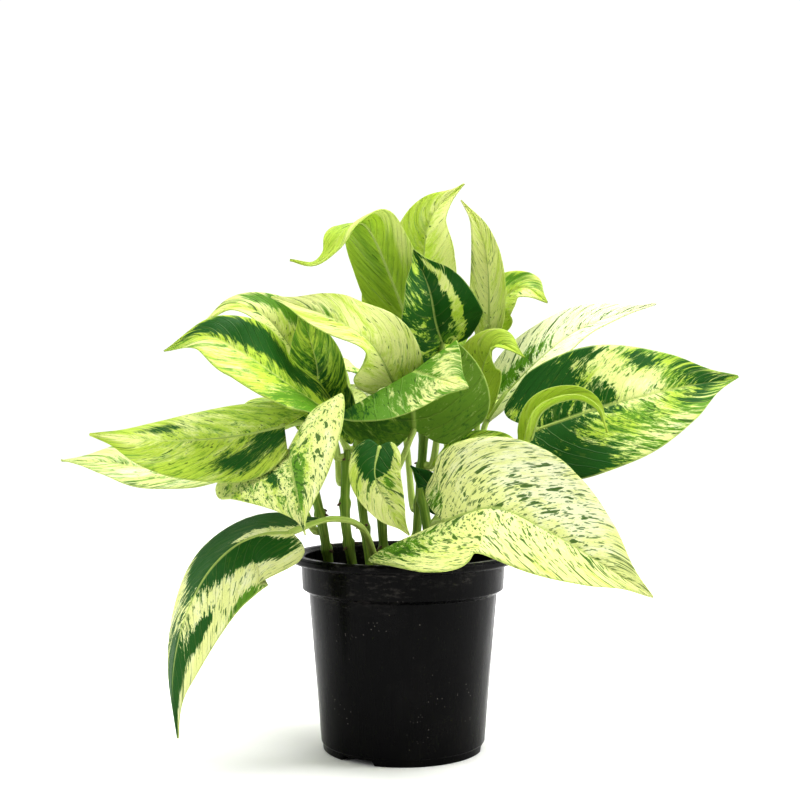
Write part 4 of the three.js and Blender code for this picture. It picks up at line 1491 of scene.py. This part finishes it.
# ------------------------------------------------------------------ vines
@dataclass
class Vine:
    """A short green stem with swollen nodes and root nubs."""

    name: str
    route: Route
    seed: int
    radius: float = 2.7
    planted: float = 14
    node_spacing: float = 21
    swelling: float = 1.22
    slim_share: float = 0.97
    tip_share: float = 0.55
    nubs_at_node: int = 3
    curve: SmoothCurve = field(init=False)

    def __post_init__(self) -> None:
        """Lays the vine's curve, from its foot in the mix."""
        first = Vector(self.route[0])
        root = first - Vector((0, 0, self.planted))
        self.curve = SmoothCurve([root, *(Vector(p) for p in self.route)])

    def nodes(self) -> list[float]:
        """The nodes' places, as shares of the length."""
        count = max(2, round(self.curve.length / self.node_spacing))
        return [(k + 0.7) / count for k in range(count)]

    def radii(self) -> list[tuple[float, float]]:
        """The stem's radius along its length, wider at each node.

        Returns:
            (share of length, radius) pairs in order.
        """
        low = self.radius * self.slim_share
        knots = [(0.0, self.radius)]
        for middle in self.nodes():
            knots += [(middle - 0.06, low), (middle, self.radius * self.swelling)]
            knots.append((min(0.985, middle + 0.035), low * 0.93))
        knots.append((1.0, self.radius * self.tip_share))
        return knots

    def build(self, materials: list[bpy.types.Material]) -> None:
        """Builds the stem with its root nubs and ties it to the frame.

        Args:
            materials: the stem's skin and the nubs' dry skin.
        """
        rng = random.Random(self.seed)
        bm = new_mesh()
        steps = round(self.curve.length / 1.1)
        add_tube(bm, self.curve, self.radii(), sides=20, steps=steps)
        for middle in self.nodes():
            for _ in range(self.nubs_at_node):
                place = middle + rng.uniform(-0.02, 0.02)
                self.add_nub(bm, place, rng.uniform(0, math.tau), rng)
        settle(as_object(bm, f"{self.name}_skin", materials), (self.name,))

    def add_nub(self, bm: bmesh.types.BMesh, u: float, angle: float, rng: random.Random) -> None:
        """Adds one short aerial root.

        Args:
            bm: the vine's mesh.
            u: its place along the vine.
            angle: its place round it.
            rng: the vine's own random draws.
        """
        ahead = self.curve.tangent(u)
        side = ahead.orthogonal().normalized()
        side.rotate(Matrix.Rotation(angle, 3, ahead))
        start = self.curve.point(u) + side * (self.radius * 0.9)
        tip = start + side * rng.uniform(1.6, 3.2) + Vector((0, 0, -rng.uniform(0.4, 1.6)))
        path = SmoothCurve([start, start.lerp(tip, 0.5) + side * 0.3, tip])
        add_tube(bm, path, [(0, 0.75), (0.6, 0.6), (1, 0.25)], sides=7, steps=5, material=1)


# ------------------------------------------------------------------ pot and mix
def turned(points: list[Pair], steps: int) -> bmesh.types.BMesh:
    """A body turned about the upright axis from its section.

    Args:
        points: (radius, height) pairs in millimetres, from the axis back to the axis.
        steps: faces round the body.

    Returns:
        The mesh, closed at its poles.
    """
    bm = new_mesh()
    verts = [bm.verts.new((r * MM, 0, z * MM)) for r, z in points]
    edges = [bm.edges.new(pair) for pair in zip(verts, verts[1:])]
    bmesh.ops.spin(
        bm, geom=verts + edges, axis=(0, 0, 1), cent=(0, 0, 0), dvec=(0, 0, 0),
        angle=math.tau, steps=steps, use_merge=True, use_duplicate=False,
    )
    bmesh.ops.remove_doubles(bm, verts=bm.verts[:], dist=DOUBLES)
    return bm


@dataclass
class NurseryPot:
    """The black pot: rolled lip, straight collar, step, tapered body and notched foot."""

    height: float = 104
    lip_radius: float = 60
    lip_height: float = 4.4
    collar_radius: float = 54
    collar_height: float = 14
    step_height: float = 2.2
    body_radius: float = 50.5
    body_foot_radius: float = 43.8
    foot_radius: float = 42.8
    foot_height: float = 3.6
    wall: float = 1.3
    floor: float = 1.4
    foot_ring: float = 4
    middle_disc: float = 14
    notch_width: float = 20
    notch_height: float = 2.4
    notch_count: int = 3
    notch_first: float = 236
    drain_radius: float = 1.9
    drain_circle: float = 27
    drain_count: int = 9
    edge_round: float = 0.4
    sharp_angle: float = 24
    steps: int = 180

    @property
    def collar_foot(self) -> float:
        """Height of the collar's lower edge."""
        return self.height - self.lip_height - self.collar_height

    @property
    def body_top(self) -> float:
        """Height where the tapered body starts."""
        return self.collar_foot - self.step_height

    @property
    def floor_under(self) -> float:
        """Height of the floor's underside."""
        return self.notch_height + 0.2

    @property
    def floor_top(self) -> float:
        """Height of the floor inside."""
        return self.floor_under + self.floor

    def inner_radius(self, z: float) -> float:
        """The inside radius at a height.

        Args:
            z: the height in millimetres.

        Returns:
            The radius.
        """
        if z >= self.collar_foot:
            return self.collar_radius - self.wall
        if z >= self.body_top:
            part = (z - self.body_top) / self.step_height
            return between(self.body_radius, self.collar_radius, part) - self.wall
        part = (z - self.floor_top) / (self.body_top - self.floor_top)
        return between(self.body_foot_radius, self.body_radius, part) - self.wall

    def body_point(self, part: float) -> Pair:
        """A point of the tapered body, a share part of the way up it."""
        radius = between(self.body_foot_radius, self.body_radius, part)
        return radius, between(4, self.body_top, part)

    def profile(self) -> list[Pair]:
        """The wall's section, from under the floor up the outside and down the inside.

        Returns:
            (radius, height) pairs in order.
        """
        under = self.height - self.lip_height
        ring = self.foot_radius - self.foot_ring
        drain_in = self.drain_circle - self.drain_radius
        drain_out = self.drain_circle + self.drain_radius
        outside = [
            (self.middle_disc, 0), (self.middle_disc + 1, self.floor_under),
            (drain_in, self.floor_under), (self.drain_circle, self.floor_under),
            (drain_out, self.floor_under), (ring - 1, self.floor_under), (ring, 0),
            (self.foot_radius, 0), (self.foot_radius + 0.2, self.foot_height),
            (self.body_foot_radius, self.foot_height + 0.5),
            self.body_point(0.33), self.body_point(0.66),
            (self.body_radius, self.body_top), (self.collar_radius, self.collar_foot),
            (self.collar_radius + 0.5, under - 1), (self.lip_radius - 0.8, under),
            (self.lip_radius, under + 0.9), (self.lip_radius, self.height - 1.1),
            (self.lip_radius - 1.1, self.height), (self.collar_radius + 1.4, self.height),
        ]
        inner = self.collar_radius - self.wall
        inside = [
            (inner, self.height - 1.6), (inner, self.collar_foot),
            (self.inner_radius(self.body_top - 0.01), self.body_top),
            (self.inner_radius(self.floor_top), self.floor_top),
            (drain_out, self.floor_top), (self.drain_circle, self.floor_top),
            (drain_in, self.floor_top), (self.middle_disc, self.floor_top),
        ]
        return outside + inside

    def shell(self) -> bmesh.types.BMesh:
        """The pot turned from its section.

        Returns:
            The pot's mesh, before its notches and drains are cut.
        """
        points = [(0.0, 0.0), *self.profile(), (0.0, self.floor_top)]
        bm = turned(points, self.steps)
        bmesh.ops.dissolve_degenerate(bm, dist=DOUBLES, edges=bm.edges[:])
        return bm

    def cut_notches(self, bm: bmesh.types.BMesh) -> None:
        """Raises the foot ring's underside at each side drain.

        Args:
            bm: the pot's mesh.
        """
        inner = (self.foot_radius - self.foot_ring - 1.5) * MM
        half_angle = math.degrees(self.notch_width / 2 / self.foot_radius)
        for vert in bm.verts:
            if vert.co.z > self.notch_height * MM or vert.co.xy.length < inner:
                continue
            angle = math.degrees(math.atan2(vert.co.y, vert.co.x)) % 360
            for k in range(self.notch_count):
                off = (angle - self.notch_first - 360 * k / self.notch_count + 180) % 360 - 180
                if abs(off) <= half_angle:
                    vert.co.z = self.notch_height * MM

    def cut_drains(self, bm: bmesh.types.BMesh) -> None:
        """Opens the round drain holes through the floor.

        Args:
            bm: the pot's mesh.
        """
        reach = self.drain_radius * MM
        for k in range(self.drain_count):
            angle = math.tau * k / self.drain_count
            middle = Vector((math.cos(angle), math.sin(angle), 0)) * self.drain_circle * MM
            inside = [
                f for f in bm.faces
                if abs(f.normal.z) > 0.9 and f.calc_center_median().z < (self.floor_top + 1) * MM
                and (f.calc_center_median().xy - middle.xy).length < reach * 0.99
            ]
            bmesh.ops.delete(bm, geom=inside, context="FACES")
            rims = [
                e for e in bm.edges
                if e.is_boundary and (e.verts[0].co.xy - middle.xy).length < reach * 2
            ]
            for vert in {v for e in rims for v in e.verts}:
                away = (vert.co.xy - middle.xy).normalized() * reach
                vert.co.x, vert.co.y = middle.x + away.x, middle.y + away.y
            bmesh.ops.bridge_loops(bm, edges=rims)

    def build(self, material: bpy.types.Material) -> None:
        """Builds the pot and ties it to the frame.

        Args:
            material: the black plastic.
        """
        bm = self.shell()
        bmesh.ops.recalc_face_normals(bm, faces=bm.faces[:])
        self.cut_notches(bm)
        self.cut_drains(bm)
        bmesh.ops.recalc_face_normals(bm, faces=bm.faces[:])
        for face in bm.faces:
            face.smooth = True
        piece = as_object(bm, "nursery_pot_skin", [material])
        soften = piece.modifiers.new("rounded_edges", "BEVEL")
        soften.width = self.edge_round * MM
        soften.segments = 3
        soften.limit_method = "ANGLE"
        soften.angle_limit = math.radians(self.sharp_angle)
        soften.harden_normals = True
        settle(piece, ("nursery_pot",))


@dataclass
class PottingMix:
    """The body of mix, crowned and lumpy on top, with bark and perlite lying on it."""

    pot: NurseryPot
    depth_below_rim: float = 13.5
    crown: float = 2
    gap: float = 0.3
    lump_height: float = 1.1
    lump_pitch: float = 170
    settled: float = 0.4
    rings: int = 34
    steps: int = 132
    seed: int = 5

    @property
    def level(self) -> float:
        """Height of the mix at the wall."""
        return self.pot.height - self.depth_below_rim

    def surface(self, radius: float) -> float:
        """The plain height of the top at a radius."""
        part = radius / self.pot.inner_radius(self.level)
        return self.level + self.crown * (1 - part**2)

    def build(self, earth: bpy.types.Material) -> None:
        """Builds the body of mix.

        Args:
            earth: its material.
        """
        pot = self.pot
        edge = pot.inner_radius(self.level) - self.gap
        reaches = [edge * k / self.rings for k in range(self.rings + 1)]
        top = [(reach, self.surface(reach)) for reach in reaches]
        base = pot.floor_top + self.gap
        side = [
            (pot.inner_radius(pot.collar_foot) - self.gap, pot.collar_foot + self.gap),
            (pot.inner_radius(pot.body_top) - self.gap, pot.body_top),
            (pot.inner_radius(base) - self.gap, base), (0.0, base),
        ]
        bm = turned(top + side, self.steps)
        low = (self.level - 0.5) * MM
        for vert in bm.verts:
            if vert.co.z > low:
                rim = smooth_step(edge * MM, (edge - 4) * MM, vert.co.xy.length)
                lump = noise.fractal(vert.co * self.lump_pitch, 0.8, 2.1, 4) * self.lump_height
                vert.co.z += (lump * rim - self.settled) * MM
        bmesh.ops.recalc_face_normals(bm, faces=bm.faces[:])
        for face in bm.faces:
            face.smooth = True
        settle(as_object(bm, "potting_mix_body", [earth]), ("potting_mix",))

    def scatter(
        self, name: str, count: int, sizes: Pair, flat: float, material: bpy.types.Material
    ) -> None:
        """Lays loose bits on the top of the mix.

        Args:
            name: the piece's name.
            count: how many bits.
            sizes: their smallest and largest half length, in millimetres.
            flat: their thickness as a share of their length.
            material: their material.
        """
        rng = random.Random(self.seed + count)
        bm = new_mesh()
        reach = self.pot.inner_radius(self.level) - 3.0
        for _ in range(count):
            radius, angle = reach * math.sqrt(rng.random()), rng.uniform(0, math.tau)
            size = between(sizes[0], sizes[1], rng.random() ** 2)
            made = bmesh.ops.create_icosphere(bm, subdivisions=1, radius=size * MM)["verts"]
            for vert in made:
                vert.co *= 1 + rng.uniform(-0.22, 0.22)
            turn = Matrix.Rotation(rng.uniform(0, math.tau), 4, "Z")
            turn = turn @ Matrix.Rotation(rng.uniform(-0.5, 0.5), 4, "X")
            bmesh.ops.scale(bm, vec=(1, rng.uniform(0.45, 0.9), flat), verts=made)
            bmesh.ops.transform(bm, matrix=turn, verts=made)
            spot = Vector((radius * math.cos(angle), radius * math.sin(angle), 0)) * MM
            spot.z = (self.surface(radius) + size * flat * 0.3) * MM
            bmesh.ops.translate(bm, vec=spot, verts=made)
        bmesh.ops.recalc_face_normals(bm, faces=bm.faces[:])
        settle(as_object(bm, name, [material]), ())


# ------------------------------------------------------------------ studio
@dataclass(frozen=True)
class Softbox:
    """One soft light: where it hangs and what it faces in metres, its size and its watts."""

    name: str
    place: Point
    aim: Point
    size: Pair
    power: float

    def hang(self) -> None:
        """Adds the light to the scene."""
        lamp = bpy.data.lights.new(self.name, "AREA")
        lamp.shape = "RECTANGLE"
        lamp.size, lamp.size_y = self.size
        lamp.energy = self.power
        holder = bpy.data.objects.new(self.name, lamp)
        bpy.context.scene.collection.objects.link(holder)
        holder.location = self.place
        ahead = Vector(self.aim) - Vector(self.place)
        holder.rotation_euler = ahead.to_track_quat("-Z", "Y").to_euler()


SOFTBOXES: tuple[Softbox, ...] = (
    Softbox("left_softbox", (-0.9, -0.3, 0.6), (0, 0, 0.15), (0.4, 0.9), 5.0),
    Softbox("top_softbox", (0.2, 0.15, 1.2), (0, 0, 0.15), (0.8, 0.8), 18.0),
    Softbox("right_strip", (0.9, -0.15, 0.5), (0, 0, 0.12), (0.3, 0.9), 6.0),
)


@dataclass
class Studio:
    """A pale floor, a dark board in front, soft light and the camera, sized in metres."""

    floor_size: float = 120.0
    camera_at: Point = (-0.0016, -0.700, 0.186)
    lens: float = 58.5
    sensor: float = 36
    world_light: float = 1.06
    contrast: float = 0.8
    flag_tone: Colour = (0.02, 0.02, 0.02)
    flag_size: Pair = (1.7, 1.1)
    flag_at: Point = (0.0, -1.25, 0.62)
    near_clip: float = 0.01
    far_clip: float = 500

    def lay_floor(self, material: bpy.types.Material) -> None:
        """Lays the floor under the pot's base.

        Args:
            material: the floor's finish.
        """
        bm = bmesh.new()
        bmesh.ops.create_grid(bm, x_segments=2, y_segments=2, size=self.floor_size)
        floor = as_object(bm, "studio_floor", [material])

    def hang_flag(self) -> None:
        """Hangs a dark board in front, which shows only as the dark in the pot's gloss."""
        dark = Sheet("dark_board")
        dark.dress(self.flag_tone, 0.9)
        bm = bmesh.new()
        bmesh.ops.create_grid(bm, x_segments=1, y_segments=1, size=0.5)
        turn = Matrix.Rotation(math.pi / 2, 4, "X")
        stretch = Matrix.Diagonal((*self.flag_size, 1, 1))
        bmesh.ops.transform(bm, matrix=turn @ stretch, verts=bm.verts)
        bmesh.ops.translate(bm, vec=self.flag_at, verts=bm.verts)
        board = as_object(bm, "studio_flag", [dark.material])
        board.visible_camera = False

    def light_world(self) -> None:
        """Sets an even white surround."""
        world = bpy.data.worlds.new("studio_surround")
        bpy.context.scene.world = world
        world.use_nodes = True
        background = world.node_tree.nodes["Background"]
        background.inputs["Color"].default_value = (1, 1, 1, 1)
        background.inputs["Strength"].default_value = self.world_light

    def place_camera(self) -> None:
        """Sets the camera level, looking along +Y."""
        eye = bpy.data.cameras.new("studio_camera")
        eye.lens = self.lens
        eye.sensor_width = self.sensor
        eye.clip_start = self.near_clip
        eye.clip_end = self.far_clip
        holder = bpy.data.objects.new("studio_camera", eye)
        bpy.context.scene.collection.objects.link(holder)
        holder.location = self.camera_at
        holder.rotation_euler = (math.pi / 2, 0, 0)
        bpy.context.scene.camera = holder

    def build(self) -> None:
        """Sets the whole studio."""
        self.place_camera()
        self.light_world()
        self.lay_floor(PaleFloor().material())
        self.hang_flag()
        for softbox in SOFTBOXES:
            softbox.hang()
        view = bpy.context.scene.view_settings
        view.view_transform = "Standard"
        view.look = "None"
        view.gamma = self.contrast


def main() -> None:
    """Builds every piece in order."""
    logging.basicConfig(level=logging.INFO, format="%(name)s: %(message)s")
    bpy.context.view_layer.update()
    Studio().build()

    pot = NurseryPot()
    pot.build(BlackPlastic().material())
    mix = PottingMix(pot)
    mix.build(PottingEarth().material())
    bark = Crumb("bark_bits", (0.02, 0.012, 0.008), (0.13, 0.075, 0.04))
    perlite = Crumb("perlite", (0.5, 0.49, 0.46), (0.85, 0.85, 0.82), 1200)
    mix.scatter("bark_on_mix", 420, (0.7, 3.0), 0.5, bark.material())
    mix.scatter("perlite_on_mix", 70, (0.6, 1.7), 0.8, perlite.material())

    stem = GreenStem("vine_skin", brown_share=0.3)
    dry = GreenStem(
        "root_nub_skin", pale=(0.16, 0.1, 0.05), green=(0.09, 0.055, 0.03), brown_share=0.5, glow=0.02
    )
    vine_skins = [stem.material(), dry.material()]
    vines: dict[str, Vine] = {}
    for seed, (name, route) in enumerate(VINE_ROUTES.items()):
        vines[name] = Vine(name, route, seed)
    for vine in vines.values():
        vine.build(vine_skins)

    upper = MarbledLeaf("leaf_upper")
    lower = MarbledLeaf(
        "leaf_underside", ivory=(0.8, 0.84, 0.52), cream=(0.7, 0.77, 0.32), lime=(0.52, 0.67, 0.09),
        green=(0.24, 0.42, 0.05), dark=(0.09, 0.24, 0.03), fleck=(0.16, 0.3, 0.04),
        dullness=0.05, gloss=0.5, glow=0.42, vein_relief=0.0003,
    )
    petiole = GreenStem(
        "petiole_skin", pale=(0.56, 0.66, 0.22), green=(0.34, 0.47, 0.09), brown_share=0.05
    )
    skins = [upper.material(), lower.material(), petiole.material()]
    for seed, (name, shape) in enumerate(SHAPES.items()):
        vine = vines[shape.vine]
        Leaf(name, shape, LOOKS[name], seed).build(vine.curve, vine.radius, skins)


if __name__ == "__main__":
    main()
